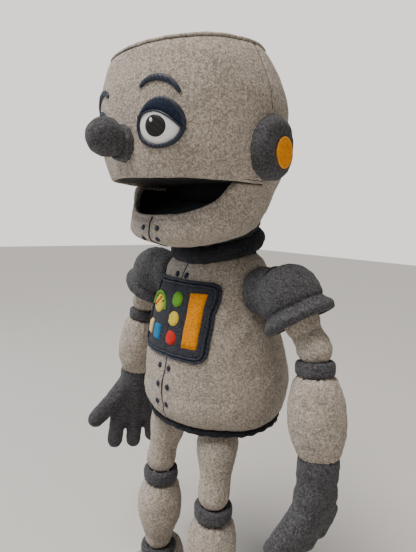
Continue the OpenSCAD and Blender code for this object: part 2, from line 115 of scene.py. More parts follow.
def finish(tree, shader, shade, stops, height, strength, depth):
    """Colours by a ramp over shade, and bumps by height, depth in millimetres."""
    r = tree.nodes.new("ShaderNodeValToRGB")
    while len(r.color_ramp.elements) < len(stops):
        r.color_ramp.elements.new(0.5)
    for e, (at, c) in zip(r.color_ramp.elements, stops):
        e.position = at
        e.color = (*np.minimum(c, 1), 1)
    tree.links.new(shade, r.inputs[0])
    tree.links.new(r.outputs[0], shader.inputs["Base Color"])
    bump = node(tree, "ShaderNodeBump", Strength=strength, Distance=depth * MM)
    tree.links.new(height, bump.inputs["Height"])
    tree.links.new(bump.outputs[0], shader.inputs["Normal"])


def fleece(name, color, size=2.1, depth=1.3, contrast=0.42, sheen=0.2):
    """Nubby pile: curled tufts of that many millimetres, darker between them and lighter on their tops as
    painted shade and light, brushed in patches.
    """
    m, tree, shader = material(name, color, 0.95, sheen, 0.1)
    where = node(tree, "ShaderNodeTexCoord").outputs["Object"]
    warp = node(tree, "ShaderNodeTexNoise", where, Scale=170.0, Detail=2.0)
    bend = node(tree, "ShaderNodeVectorMath", operation="MULTIPLY_ADD")
    tree.links.new(warp.outputs["Color"], bend.inputs[0])
    bend.inputs[1].default_value = (0.006, 0.006, 0.006)
    tree.links.new(where, bend.inputs[2])
    tuft = node(tree, "ShaderNodeTexVoronoi", bend.outputs[0], feature="SMOOTH_F1", Scale=1000 / size,
                Smoothness=0.55)
    curl = node(tree, "ShaderNodeTexNoise", where, Scale=430.0, Detail=3.0, Roughness=0.65, Distortion=1.2)
    patch = node(tree, "ShaderNodeTexNoise", where, Scale=26.0, Detail=2.0)
    high = math_node(tree, "SUBTRACT", 1.0, tuft.outputs["Distance"])
    height = weighted(tree, (high, 0.42), (curl.outputs[0], 0.9))
    shade = math_node(tree, "ADD", height, weighted(tree, (patch.outputs[0], 0.16)))
    c = np.array(color)
    # the ramp follows the tufts' height: painted shade in the hollows, painted light on the tops
    finish(tree, shader, shade, [(0.62, c * (1 - contrast)), (0.8, c), (0.98, c * (1 + contrast))],
           height, 0.9, depth)
    return m


def felt(name, color, contrast=0.25):
    """Pressed felt: short matted hairs and faint blotches."""
    m, tree, shader = material(name, color, 0.85, 0.2, 0.15)
    where = node(tree, "ShaderNodeTexCoord").outputs["Object"]
    hair = node(tree, "ShaderNodeTexNoise", where, Scale=1400.0, Detail=4.0, Roughness=0.7, Distortion=1.5)
    blot = node(tree, "ShaderNodeTexNoise", where, Scale=120.0, Detail=2.0)
    shade = weighted(tree, (hair.outputs[0], 0.5), (blot.outputs[0], 0.5))
    c = np.array(color)
    finish(tree, shader, shade, [(0.3, c * (1 - contrast)), (0.5, c), (0.7, c * 1.15)],
           hair.outputs[0], 0.5, 0.4)
    return m


def satin(name, color, turn=0.6, pitch=0.75):
    """Satin stitch: close parallel threads, with painted shade between them and a soft shine along them that
    is partly painted into the colour.
    """
    m, tree, shader = material(name, color, 0.55, 0.12, 0.35)
    where = node(tree, "ShaderNodeTexCoord").outputs["Object"]
    spin = node(tree, "ShaderNodeMapping", where, Rotation=(0, turn, 0))
    thread = node(tree, "ShaderNodeTexWave", spin.outputs[0], bands_direction="X", Distortion=1.2,
                  Scale=3.2 / (pitch / 100) / TAU, Detail=2.0, Detail_Scale=3.0).outputs["Fac"]
    c = np.array(color)
    # the ramp over the threads paints shade in their grooves and shine on their crests
    finish(tree, shader, thread, [(0.0, c * 0.7), (0.5, c), (1.0, c * 1.35)], thread, 0.7, 0.35)
    return m


GREY = fleece("grey_fleece", (0.46, 0.402, 0.343))
CHARCOAL = fleece("charcoal_fleece", (0.088, 0.088, 0.096), 2.1, 1.3, 0.5, 0.25)
# charcoal fleece made darker: painted shade under the head and the belly, used for the neck, throat and hem
SHADED_CHARCOAL = fleece("shaded_charcoal_fleece", (0.026, 0.028, 0.034), 2.0, 1.1, 0.45, 0.2)
PANEL = fleece("panel_fleece", (0.05, 0.054, 0.066), 1.8, 0.7, 0.4, 0.2)
ORANGE = fleece("orange_fleece", (0.95, 0.33, 0.006), 1.6, 0.5, 0.3, 0.02)
STITCH = felt("orange_stitch", (0.92, 0.36, 0.015), 0.15)
# dark grey cords laid along the head's seams: painted seam shadow
SEAM_SHADOW = felt("seam_shadow", (0.13, 0.12, 0.115), 0.3)
NAVY = satin("navy_embroidery", (0.016, 0.022, 0.04), 0.6, 0.5)
LID = fleece("lid_stitch", (0.017, 0.025, 0.046), 1.4, 0.6, 0.4, 0.1)
PIPING = satin("navy_piping", (0.02, 0.026, 0.042), 1.2, 0.8)
BLACK = satin("black_satin", (0.012, 0.012, 0.012), 0.9)
OLIVE = satin("olive_satin", (0.09, 0.085, 0.03), 0.2)
WHITE = felt("white_felt", (0.86, 0.86, 0.84), 0.08)
GLINT = felt("white_thread", (0.95, 0.95, 0.95), 0.03)
GREEN = felt("green_felt", (0.14, 0.38, 0.03))
YELLOW = felt("yellow_felt", (0.80, 0.60, 0.06))
RED = felt("red_felt", (0.62, 0.03, 0.02))
CREAM = felt("cream_felt", (0.80, 0.62, 0.28))
BLUE = felt("blue_felt", (0.02, 0.20, 0.42))
FOAM = felt("foam", (0.72, 0.68, 0.52), 0.3)
LINING = felt("black_lining", (0.012, 0.012, 0.013), 0.3)


# ---- Mesh tools ----

def make(name, verts, faces, mat):
    mesh = bpy.data.meshes.new(name)
    mesh.from_pydata([tuple(map(float, v)) for v in verts], [], [tuple(f) for f in faces])
    mesh.update()
    o = bpy.data.objects.new(name, mesh)
    scene.collection.objects.link(o)
    mesh.materials.append(mat)
    mesh.shade_smooth()
    return o


def points(o):
    co = np.empty(len(o.data.vertices) * 3)
    o.data.vertices.foreach_get("co", co)
    return co.reshape(-1, 3)


def place(o, co):
    o.data.vertices.foreach_set("co", np.asarray(co, float).ravel())
    o.data.update()


def outward(o):
    n = np.empty(len(o.data.vertices) * 3, np.float32)
    o.data.vertices.foreach_get("normal", n)
    return n.reshape(-1, 3).astype(float)


def push(o, amount):
    place(o, points(o) + outward(o) * np.asarray(amount)[..., None])
    return o


def lumps(o, *rows):
    """Soft bumps all over: each row has a height in millimetres, a lump's size and a seed."""
    co = points(o)
    return push(o, MM * sum(height * waves(co, size, seed) for height, size, seed in rows))


def modified(o, kind, **values):
    """Puts one modifier on a piece and turns it into the piece's mesh."""
    m = o.modifiers.new(kind, kind)
    for key, value in values.items():
        setattr(m, key, value)
    mesh = bpy.data.meshes.new_from_object(o.evaluated_get(bpy.context.evaluated_depsgraph_get()))
    o.modifiers.clear()
    o.data = mesh
    mesh.shade_smooth()
    return o


def subdivided(o):
    return modified(o, "SUBSURF", levels=1, render_levels=1)


def thickened(o, t):
    return modified(o, "SOLIDIFY", thickness=t * MM)


def welded(o, reach=1e-6):
    return modified(o, "WELD", merge_threshold=reach)


def bell(x, width):
    return np.exp(-(x / width) ** 2)


def eased(x):
    """From 0 to 1 with a soft start and end, for x from 0 to 1."""
    x = np.clip(x, 0, 1)
    return x * x * (3 - 2 * x)


def columns(*parts):
    """Points from their coordinates, any of which may be one number for all."""
    return np.stack(np.broadcast_arrays(*parts), axis=-1).astype(float)


def waves(p, size, seed, count=14):
    """Smooth noise, about -1 to 1, in lumps of about that size."""
    r = np.random.default_rng(seed)
    out = np.zeros(len(p))
    for _ in range(count):
        k = r.normal(size=3)
        k *= TAU / (size * r.uniform(0.7, 1.6) * np.linalg.norm(k))
        out += np.sin(p @ k + r.uniform(0, TAU))
    return out * 0.8 / math.sqrt(count)


def curve_through(xs, ys):
    """Smooth curve through a table's points that doesn't overshoot."""
    xs, ys = np.array(xs, float), np.array(ys, float)
    h, d = np.diff(xs), np.diff(ys) / np.diff(xs)
    m = np.concatenate([[d[0]], (d[:-1] + d[1:]) / 2, [d[-1]]])
    for i in range(1, len(xs) - 1):
        if d[i - 1] * d[i] <= 0:
            m[i] = 0
        else:
            m[i] = math.copysign(min(abs(m[i]), 3 * abs(d[i - 1]), 3 * abs(d[i])), m[i])

    def at(x):
        x = np.clip(x, xs[0], xs[-1])
        i = np.clip(np.searchsorted(xs, x, side="right") - 1, 0, len(h) - 1)
        t = (x - xs[i]) / h[i]
        return ((1 + 2 * t) * (1 - t) ** 2 * ys[i] + t * (1 - t) ** 2 * h[i] * m[i]
                + t * t * (3 - 2 * t) * ys[i + 1] + t * t * (t - 1) * h[i] * m[i + 1])
    return at


# which ends of a tube are closed
BOTH, START, END, NEITHER = (True, True), (True, False), (False, True), (False, False)


def skin(name, rings, mat, ends=BOTH):
    """Surface through closed rings of points, with a point at each closed end."""
    n = len(rings[0])
    verts = [p for ring in rings for p in ring]
    faces = [(i * n + j, i * n + (j + 1) % n, (i + 1) * n + (j + 1) % n, (i + 1) * n + j)
             for i in range(len(rings) - 1) for j in range(n)]
    if ends[0]:
        verts.append(np.mean(rings[0], axis=0))
        faces += [(len(verts) - 1, (j + 1) % n, j) for j in range(n)]
    if ends[1]:
        last = (len(rings) - 1) * n
        verts.append(np.mean(rings[-1], axis=0))
        faces += [(len(verts) - 1, last + j, last + (j + 1) % n) for j in range(n)]
    return make(name, verts, faces, mat)


def basis(direction):
    """Two unit vectors square to a direction, the first one as level as can be."""
    d = np.array(direction, float)
    d /= np.linalg.norm(d)
    u = np.cross((0, 0, 1) if abs(d[2]) < 0.99 else (0, 1, 0), d)
    u /= np.linalg.norm(u)
    return d, u, np.cross(d, u)


def turned_piece(name, a, direction, profile, mat, n=56, ends=BOTH):
    """Round piece on an axis from a; the profile lists (distance along, radius) in millimetres."""
    d, u, v = basis(direction)
    phi = np.arange(n) * TAU / n
    circle = np.cos(phi)[:, None] * u + np.sin(phi)[:, None] * v
    rings = [np.array(a) + d * t * MM + circle * max(r, 0.05) * MM for t, r in profile]
    return skin(name, rings, mat, ends)


def smooth_profile(profile, step=3.0):
    """The same profile with points about that far apart on a rounded line."""
    p = np.array(profile, float)
    length = np.concatenate([[0], np.cumsum(np.linalg.norm(np.diff(p, axis=0), axis=1))])
    s = np.linspace(0, length[-1], max(4, int(length[-1] / step)))
    return np.stack([curve_through(length, p[:, 0])(s), curve_through(length, p[:, 1])(s)], axis=1)


def polar(co, a, direction):
    """Distance along an axis, angle round it and distance from it, for each point."""
    d, u, v = basis(direction)
    q = co - np.array(a)
    return q @ d, np.arctan2(q @ v, q @ u), np.hypot(q @ u, q @ v)


def gathers(o, a, direction, at, reach, depth, count, seed):
    """Puckers that run along the axis from a stitched ring at that distance and die out."""
    t, phi, _ = polar(points(o), a, direction)
    r = np.random.default_rng(seed)
    wave = sum(w * np.sin(k * phi + r.uniform(0, TAU)) for k, w in ((count, 0.6), (count + 5, 0.3), (7, 0.3)))
    fade = np.exp(-np.abs(t - at * MM) / (reach * MM))
    return push(o, fade * depth * MM * (wave - 0.4))


def swept(name, path, radii, mat, up=None, n=10, closed=False, flat=1.0):
    """Cord along a path, with a radius at each point; flat squeezes its height."""
    path = np.array(path, float)
    m = len(path)
    tangent = (np.roll(path, -1, 0) - np.roll(path, 1, 0)) if closed else np.gradient(path, axis=0)
    tangent /= np.linalg.norm(tangent, axis=1)[:, None] + 1e-12
    if up is None:
        up = np.tile((0, 0, 1.0), (m, 1))
    side = np.cross(tangent, up)
    side /= np.linalg.norm(side, axis=1)[:, None] + 1e-12
    rise = np.cross(side, tangent)
    phi = np.arange(n) * TAU / n
    rings = [path[i] + radii[i] * (np.cos(phi)[:, None] * side[i] + flat * np.sin(phi)[:, None] * rise[i])
             for i in range(m)]
    if closed:
        return welded(skin(name, rings + rings[:1], mat, NEITHER))
    return skin(name, rings, mat)


def joined(name, objects):
    """One piece from several meshes."""
    target = bmesh.new()
    mats = []
    for o in objects:
        mat = o.data.materials[0]
        if mat not in mats:
            mats.append(mat)
        before = len(target.faces)
        target.from_mesh(o.data)
        target.faces.ensure_lookup_table()
        for f in target.faces[before:]:
            f.material_index = mats.index(mat)
            f.smooth = True
    mesh = bpy.data.meshes.new(name)
    target.to_mesh(mesh)
    target.free()
    for mat in mats:
        mesh.materials.append(mat)
    for o in objects:
        bpy.data.objects.remove(o)
    o = bpy.data.objects.new(name, mesh)
    scene.collection.objects.link(o)
    return o


def mirror_of(o, name):
    """The same piece on the other side of the body."""
    mesh = o.data.copy()
    mesh.transform(Matrix.Diagonal((-1, 1, 1, 1)))
    mesh.flip_normals()
    copy = bpy.data.objects.new(name, mesh)
    scene.collection.objects.link(copy)
    return copy


def labelled(replaces):
    if replaces:
        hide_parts(*([replaces] if isinstance(replaces, str) else replaces))


def done(o, body, replaces=()):
    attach(o, body)
    labelled(replaces)


# ---- Stuffing: pieces queued here swell under pressure together, held at their seams ----

JOBS = []
LAST_FRAME = 20
SINK = 0.3 * MM


def stuff(o, held, pressure=4.0, cap=3.0, spare=0.03):
    """Queues a piece: held marks the points sewn down, spare is the extra cloth that wrinkles."""
    JOBS.append((o, np.asarray(held, bool), pressure, cap, spare))


def swell():
    starts = []
    for o, held, pressure, _, spare in JOBS:
        starts.append(points(o))
        group = o.vertex_groups.new(name="held")
        group.add([int(i) for i in np.nonzero(held)[0]], 1.0, "REPLACE")
        m = o.modifiers.new("Cloth", "CLOTH")
        s = m.settings
        s.quality = 5
        s.mass = 0.15
        s.tension_stiffness = s.compression_stiffness = 15
        s.shear_stiffness = 5
        s.bending_stiffness = 0.15
        s.tension_damping = s.compression_damping = s.shear_damping = 10
        s.air_damping = 2
        s.use_pressure = True
        s.uniform_pressure_force = pressure
        s.shrink_min = s.shrink_max = -spare
        s.vertex_group_mass = "held"
        s.effector_weights.gravity = 0
        m.collision_settings.use_collision = False
        m.point_cache.frame_start, m.point_cache.frame_end = 1, LAST_FRAME + 2
    for f in range(1, LAST_FRAME + 1):
        scene.frame_set(f)
    graph = bpy.context.evaluated_depsgraph_get()
    ends = []
    for o, *_ in JOBS:
        mesh = o.evaluated_get(graph).to_mesh()
        co = np.empty(len(mesh.vertices) * 3)
        mesh.vertices.foreach_get("co", co)
        ends.append(co.reshape(-1, 3))
        o.evaluated_get(graph).to_mesh_clear()
    for (o, _, _, cap, _), a, b in zip(JOBS, starts, ends):
        o.modifiers.clear()
        o.vertex_groups.clear()
        move, out = b - a, outward(o)
        # the stuffing behind lets hardly any cloth sink in
        move -= out * np.minimum((move * out).sum(axis=1) + SINK, 0)[:, None]
        size = np.linalg.norm(move, axis=1)[:, None]
        place(o, a + move * np.minimum(1, cap * MM / np.maximum(size, 1e-9)))
    scene.frame_set(1)


# ---- Torso ----

RING = 104
PHI = np.arange(RING) * TAU / RING
ARMHOLE_Y, ARMHOLE_Z = 0.037, 0.446
BODY_Y = 48
# height, half width, half depth, middle in Y
TORSO = np.array([[283, 87.3, 79.2, 48], [297, 94.7, 86.8, 48], [325, 97, 90.6, 50.6],
                  [358, 94.1, 84.5, 48.5],
                  [390, 88.3, 76.4, 45], [424, 80.5, 66.9, 42.4], [447, 75.3, 59.8, 41.6],
                  [466, 71, 53.2, 42.4], [477, 62.5, 47.5, 45], [486, 49.5, 42, 48]])
torso_w, torso_d, torso_c = (curve_through(TORSO[:, 0], TORSO[:, k]) for k in (1, 2, 3))


def torso_ring(z, phi, grow=0.0):
    return columns((torso_w(z) + grow) * np.sin(phi), torso_c(z) - (torso_d(z) + grow) * np.cos(phi), z) * MM


rings = [torso_ring(z, PHI, g) for z, g in ((284, -6), (281.5, -3), (283, 0))]
rings += [torso_ring(z, PHI, -1) for z in np.linspace(288, 484, 38)]
rings += [torso_ring(487, PHI, -3), torso_ring(487, PHI, -7)]
torso = skin("torso_skin", rings, GREY, NEITHER)
co = points(torso)
armhole = np.hypot(co[:, 1] - ARMHOLE_Y, co[:, 2] - ARMHOLE_Z) < 0.021
stuff(torso, (co[:, 2] < 0.286) | (co[:, 2] > 0.483) | (armhole & (np.abs(co[:, 0]) > 0.055)), 2.0, 3.0, 0.02)

# ---- Limbs, made for the left side ----

shoulder, elbow, wrist = (PIVOT[n] for n in ("shoulder_swing_left", "elbow_left", "wrist_left"))
hip, knee, ankle = (PIVOT[n] for n in ("hip_left", "knee_left", "ankle_left"))
arm, fore = elbow - shoulder, wrist - elbow
arm_len, fore_len = np.linalg.norm(arm) / MM, np.linalg.norm(fore) / MM
thigh_len = np.linalg.norm(knee - hip) / MM

UP = (0, 0, 1)


def limb(name, a, direction, profile, mat, n, ends, stitched, pressure, cap, spare=0.03):
    """Stuffed round piece; stitched lists the stretches along its axis that are sewn down, in millimetres."""
    o = turned_piece(name, a, direction, profile, mat, n, ends)
    t = polar(points(o), a, direction)[0] / MM
    stuff(o, np.any([(t > low) & (t < high) for low, high in stitched], axis=0), pressure, cap, spare)
    return o


def barrel(t, end, mid):
    """Radius of a swollen segment, t from 0 to 1 along it."""
    return end + (mid - end) * (1 - (2 * t - 1) ** 2)


FAR = 1000
upper_arm = limb("upper_arm_left_skin", shoulder, arm, smooth_profile(
    [(8, 13), (16, 16), (24, 18.4), (31, 19.3), (38, 18.6), (44, 17), (arm_len - 10, 16.6),
     (arm_len - 4, 17.8),
     (arm_len + 3, 18), (arm_len + 11, 14), (arm_len + 16, 8), (arm_len + 17.8, 0)]), GREY, 56, BOTH,
    [(-FAR, 14), (arm_len - 2, FAR)], 2.5, 1.5)

fore_start = 27.2
length = fore_len - fore_start - 8
forearm = limb("forearm_left_skin", elbow + fore / fore_len * fore_start, fore, smooth_profile(
    [(-1, 14), (0.2, 18)] + [(length * s, barrel(s, 20.5, 30.2)) for s in np.linspace(0.02, 0.98, 13)]
    + [(length, 20), (length - 1.5, 16)], 4.0), GREY, 60, START,
    [(-FAR, 3), (length - 3, FAR)], 2.5, 1.5)

thigh = limb("thigh_left_skin", hip, knee - hip, smooth_profile(
    [(-22, 0), (-20, 8), (-14, 17), (-6, 22.4), (4, 24.6), (14, 24), (thigh_len * 0.45, 21.4),
     (thigh_len - 18, 18.4), (thigh_len - 9, 18.6), (thigh_len, 19.4), (thigh_len + 8, 17.6),
     (thigh_len + 15, 12), (thigh_len + 19.6, 0)]), GREY, 56, BOTH,
    [(-FAR, -12), (thigh_len - 4, FAR)], 2.5, 1.2)

shin_top = (knee[2] - ankle[2]) / MM - 30.2
shin = limb("shin_left_skin", ankle, UP, smooth_profile(
    [(-19.6, 0), (-17, 9), (-10, 16.8), (-2, 19.4), (5, 19.2), (9, 20.4)]
    + [(9 + (shin_top - 9) * s, barrel(s, 20.6, 30.4)) for s in np.linspace(0.06, 0.97, 12)]
    + [(shin_top - 0.3, 19), (shin_top + 0.4, 14)], 4.0), GREY, 60, BOTH,
    [(-FAR, 11), (shin_top - 4, FAR)], 2.5, 1.5)

cap = limb("shoulder_cap_left_skin", shoulder, arm, smooth_profile(
    [(-34.5, 0), (-33.6, 7), (-30.5, 15.5), (-24, 24.6), (-14, 31.4), (-3, 34), (7, 33.6), (14, 32),
     (17.5, 34), (21, 37.4), (25, 39.4), (29, 39.2), (31.8, 36.8), (32, 33), (29, 29.5), (23, 26), (16, 22),
     (10, 19.5)], 2.6), CHARCOAL, 64, START,
    [(-FAR, -31), (12, 16), (29, FAR)], 3.0, 2.0, 0.05)


def capsules(name, parts, mat, voxel, smooth):
    """Soft union of rods with rounded ends: each part is two ends in millimetres and two radii."""
    pieces = []
    for i, (a, b, ra, rb) in enumerate(parts):
        a, b = np.array(a, float), np.array(b, float)
        d = np.linalg.norm(b - a) + 1e-6
        s = np.linspace(0, math.pi / 2, 8)
        profile = ([(-ra * math.cos(x), ra * math.sin(x)) for x in s]
                   + [(d + rb * math.sin(x), rb * math.cos(x)) for x in s])
        pieces.append(turned_piece(f"part_{i}", a * MM, b - a + 1e-9, profile, mat, 24))
    o = modified(joined(name, pieces), "REMESH", mode="VOXEL", voxel_size=voxel * MM)
    return modified(o, "SMOOTH", factor=0.5, iterations=smooth)


def about_wrist(p, turn, side):
    """A point of a hand drawn at the left wrist, turned about the arm and put on its side."""
    c, s = math.cos(math.radians(turn)), math.sin(math.radians(turn))
    q = np.array([c * p[0] - s * p[1], s * p[0] + c * p[1], p[2]]) + wrist / MM
    return q * (side, 1, 1)


def hand(name, parts, turn, side):
    o = capsules(name, [(about_wrist(a, turn, side), about_wrist(b, turn, side), ra, rb)
                        for a, b, ra, rb in parts], CHARCOAL, 3.0, 4)
    stuff(o, points(o)[:, 2] > 0.262, 2.0, 1.2, 0.02)
    return o


open_parts = [((0, 0, 4), (0, 0, -10), 22, 21.5), ((1, 1, -14), (2, 2, -36), 20, 18),
              ((2, 14, -30), (3, 18, -66), 16, 13), ((2, -12, -30), (3, -15, -66), 16, 13),
              ((2, 2, -36), (3, 2, -70), 16, 13), ((1, -11, -17), (0, -35, -43), 17, 13.6),
              ((0, -35, -43), (-2, -60, -66), 13.6, 12.6)]
open_parts += [((3, 26 * i + 2, -66 + 5 * abs(i)), (4, 31 * i + 2, -115 + 5 * abs(i)), 12.2, 11.8)
               for i in (-1, 0, 1)]
hand_right = hand("hand_right_skin", open_parts, 20, -1)
curled = [((0, 0, 4), (0, 0, -10), 22, 22), ((0, 0, -16), (0, 0, -36), 21, 20),
          ((0, 13, -32), (0, 16, -64), 17, 13), ((0, -12, -32), (0, -14, -64), 17, 13),
          ((0, -16, -44), (-12, -45, -78), 14, 12.6)]
for i in (-1, 0, 1):
    curled += [((0, 3 + 23 * i, -60), (-8, 25 * i, -91), 12.4, 11.8),
               ((-8, 25 * i, -91), (-29, 25 * i - 4, -101), 11.8, 11.4)]
hand_left = hand("hand_left_skin", curled, 0, 1)

foot_lo, foot_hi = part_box("foot_left")
sole_lo, sole_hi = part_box("sole_left")
fx, front, back, top = ankle[0] / MM, foot_lo[1] / MM, foot_hi[1] / MM, sole_hi[2] / MM
w = (foot_hi[0] - foot_lo[0]) / MM / 2
foot_parts = [((fx, front + w + 1, top + 16), (fx, front + w + 12, top + 17), 29, 29),
              ((fx, front + w + 20, top + 19), (fx, back - 34, top + 22), 29, 27),
              ((fx, back - 30, top + 22), (fx, back - 29, top + 36), 27, 23)]
foot = capsules("foot_left_skin", foot_parts, GREY, 4.0, 6)
co = points(foot)
co[:, 2] = np.clip(co[:, 2], top * MM, None)
# the sides of the upper come down to the sole's edge
spread = np.exp(-(co[:, 2] - top * MM) / 0.012)
for i, middle, amount in ((0, fx * MM, 0.16), (1, (front + back) / 2 * MM, 0.02)):
    co[:, i] = middle + (co[:, i] - middle) * (1 + amount * spread)
place(foot, co)
stuff(foot, co[:, 2] < (top + 3) * MM, 2.5, 2.0, 0.02)

swell()

for o in (torso, upper_arm, forearm, thigh, shin, cap, hand_left, hand_right, foot):
    lumps(subdivided(o), (0.35, 0.011, 5), (0.5, 0.035, 6))

# ---- Torso detail ----

co = points(torso)
angle = np.arctan2(co[:, 2] - ARMHOLE_Z, co[:, 1] - ARMHOLE_Y)
far = np.hypot(co[:, 1] - ARMHOLE_Y, co[:, 2] - ARMHOLE_Z)
on_side = np.clip((np.abs(co[:, 0]) - 0.045) / 0.02, 0, 1)
pucker = 0.6 * np.sin(15 * angle + 1) + 0.4 * np.sin(9 * angle + 2.2 + co[:, 0] * 9)
push(torso, on_side * np.exp(-np.clip(far - 0.02, 0, 1) / 0.014) * (far > 0.016) * MM * (1.1 * pucker - 0.1))
co = points(torso)
behind = co[:, 1] - torso_c(co[:, 2] / MM) * MM
# the cloth folds in front of the armhole and below it
for at, reach, rise in ((-2.86, 0.043, 1.9), (-2.3, 0.050, 1.5), (-1.3, 0.048, 1.0)):
    fold = 1.3 * (bell(angle - at + 0.2, 0.13) + bell(angle - at - 0.2, 0.13)) - 0.9 * bell(angle - at, 0.1)
    push(torso, on_side * rise * MM * fold * bell(far - reach, 0.013))
co = points(torso)
SEAM_HALF = 0.0026
groove = bell(co[:, 0], SEAM_HALF) * np.where(behind < 0, 1.1, 0.9)
side_seam = bell(co[:, 1] - torso_c(co[:, 2] / MM) * MM - 0.006, SEAM_HALF) * (far > 0.03)
push(torso, -MM * (groove + 0.9 * side_seam))
gathers(torso, (0, BODY_Y * MM, 0.486), (0, 0, -1), 0, 12, 0.9, 22, 3)
done(torso, "torso", "torso_shell")


class Surface:
    """A piece to sew on, met by rays; places are given in millimetres."""

    def __init__(self, o):
        bpy.context.view_layer.update()
        self.tree = BVHTree.FromObject(o, bpy.context.evaluated_depsgraph_get())

    def met(self, start, way):
        hit, normal, _, _ = self.tree.ray_cast(start, way, 1.0)
        if hit is None:
            raise ValueError(f"nothing of the piece lies on the way from {start}")
        return hit, -normal if normal.dot(way) > 0 else normal

    def towards(self, p, q, lift=0.0):
        """Point and normal on the outside, met from p towards q."""
        a, b = Vector(p) * MM, Vector(q) * MM
        hit, normal = self.met(a, (b - a).normalized())
        return np.array(hit + normal * lift * MM), np.array(normal)

    def at(self, x, z, lift=0.0):
        """Point and normal on the front; the pile's own bumps hardly turn what is sewn on it."""
        hit, normal = self.met(Vector((x * MM, -0.5, z * MM)), Vector((0, 1, 0)))
        normal = (normal + Vector((0, -0.6, 0))).normalized()
        return np.array(hit + normal * lift * MM), np.array(normal)

    def cord(self, name, line, widths, mat, lift=0.4, flat=0.6, closed=False, n=10):
        got = [self.at(x, z, lift) for x, z in line]
        return cord_of(name, got, np.array(widths) * np.ones(len(line)), mat, n, closed, flat)

    def patch(self, name, outline, mat, height, crown=0.4, sink=0.6, rings=8, centre=None):
        """Padded piece sewn on flat: rounded edge, slightly crowned."""
        outline = np.array(outline, float)
        c = np.mean(outline, axis=0) if centre is None else np.array(centre, float)
        edge = 0.7
        reach = np.linalg.norm(outline - c, axis=1)
        n = len(outline)
        rows = [(1, -sink, 0), (1, height * 0.55, 0)]
        rows += [(s, height + crown * (1 - s * s), edge) for s in np.linspace(1, 0, rings + 1)[1:-1]]
        verts = []
        for s, up, inset in rows:
            for j in range(n):
                q = c + (outline[j] - c) * s * (1 - inset / max(reach[j], 2))
                verts.append(self.at(q[0], q[1], up)[0])
        verts.append(self.at(c[0], c[1], height + crown)[0])
        faces = [(i * n + j, (i + 1) * n + j, (i + 1) * n + (j + 1) % n, i * n + (j + 1) % n)
                 for i in range(len(rows) - 1) for j in range(n)]
        last = (len(rows) - 1) * n
        faces += [(len(verts) - 1, last + (j + 1) % n, last + j) for j in range(n)]
        return make(name, verts, faces, mat)


def cord_of(name, got, widths, mat, n=8, closed=False, flat=1.0):
    """Cord through met points, its radii in millimetres."""
    return swept(name, [p for p, _ in got], widths * MM * np.ones(len(got)), mat,
                 np.array([q for _, q in got]), n, closed, flat)


def oval(rx, rz, n=40):
    return np.array([(rx * math.cos(a), rz * math.sin(a)) for a in np.arange(n) * TAU / n])


def rounded(w, h, r, step=3.0):
    pts = []
    for cx, cz, a0 in ((1, -1, -90), (1, 1, 0), (-1, 1, 90), (-1, -1, 180)):
        for a in np.radians(np.linspace(a0, a0 + 90, 6)):
            pts.append((cx * (w / 2 - r) + r * math.cos(a), cz * (h / 2 - r) + r * math.sin(a)))
    return filled(np.array(pts), step)


def filled(pts, step, closed=True):
    out = []
    m = len(pts)
    for i in range(m if closed else m - 1):
        a, b = np.array(pts[i], float), np.array(pts[(i + 1) % m], float)
        k = max(1, int(math.ceil(np.linalg.norm(b - a) / step)))
        out += [a + (b - a) * j / k for j in range(k)]
    if not closed:
        out.append(np.array(pts[-1], float))
    return np.array(out)


chest = Surface(torso)
panel_lo, panel_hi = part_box("chest_panel")
pc = np.array([0, (panel_lo.z + panel_hi.z) / 2 / MM])
pw, ph = (panel_hi.x - panel_lo.x) / MM, (panel_hi.z - panel_lo.z) / MM
panel = chest.patch("chest_panel_pad", rounded(pw, ph, 8, 4.0) + pc, PANEL, 2.4, 0.8, 1.5, 12, pc)
lumps(panel, (0.15, 0.02, 9))
done(panel, "torso", "chest_panel")
for name, grow, width, lift, rep in (("panel_piping_outer", 3.4, 1.9, 1.3, "panel_piping"),
                                     ("panel_piping_inner", -4.0, 1.3, 3.0, ())):
    line = rounded(pw + grow, ph + grow, 9 + grow / 2, 3.0) + pc
    done(chest.cord(name, line, width, PIPING, lift, 1.0, True), "torso", rep)


def badge(name, outline, mat):
    lo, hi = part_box(name)
    c = np.array([(lo.x + hi.x) / 2, (lo.z + hi.z) / 2]) / MM
    done(chest.patch(name + "_felt", outline + c, mat, 4.9, 0.35, -1.5, 5), "torso", name)


for name, mat in (("button_green", GREEN), ("button_yellow", YELLOW), ("button_red", RED)):
    badge(name, oval(8.6, 8.8), mat)
badge("patch_cream", rounded(9, 18, 2, 3), CREAM)
badge("patch_blue", rounded(14, 19, 2, 3), BLUE)
badge("patch_orange", rounded(18, 62, 2, 4), ORANGE)

gauge = np.array([-28, pc[1] + 10])
dial = chest.patch("gauge_dial", oval(12.5, 11.5) + gauge + (0, 2), YELLOW, 4.3, 0.3, -1.5, 5)
done(dial, "torso", "gauge")


def round_gauge(degrees, rx, rz):
    a = np.radians(degrees)
    return gauge + (rx * math.cos(a), rz * math.sin(a))


arch = [round_gauge(a, 15.6, 15.6) for a in np.linspace(-12, 185, 30)]
done(chest.cord("gauge_arch", arch, 2.0, GREEN, 3.6), "torso")
needle = filled([gauge + (-6, -1), gauge + (6, 10)], 1.5, False)
needle = chest.cord("gauge_needle", needle, np.linspace(1.3, 0.7, len(needle)), RED, 5.0)
done(needle, "torso")
for i, a in enumerate((35, 75, 115, 150)):
    dot = oval(1.3, 1.3, 14) + round_gauge(a, 11.5, 10.35)
    done(chest.patch(f"gauge_dot_{i}", dot, BLACK, 5.2, 0.2, -1.5, 2), "torso")

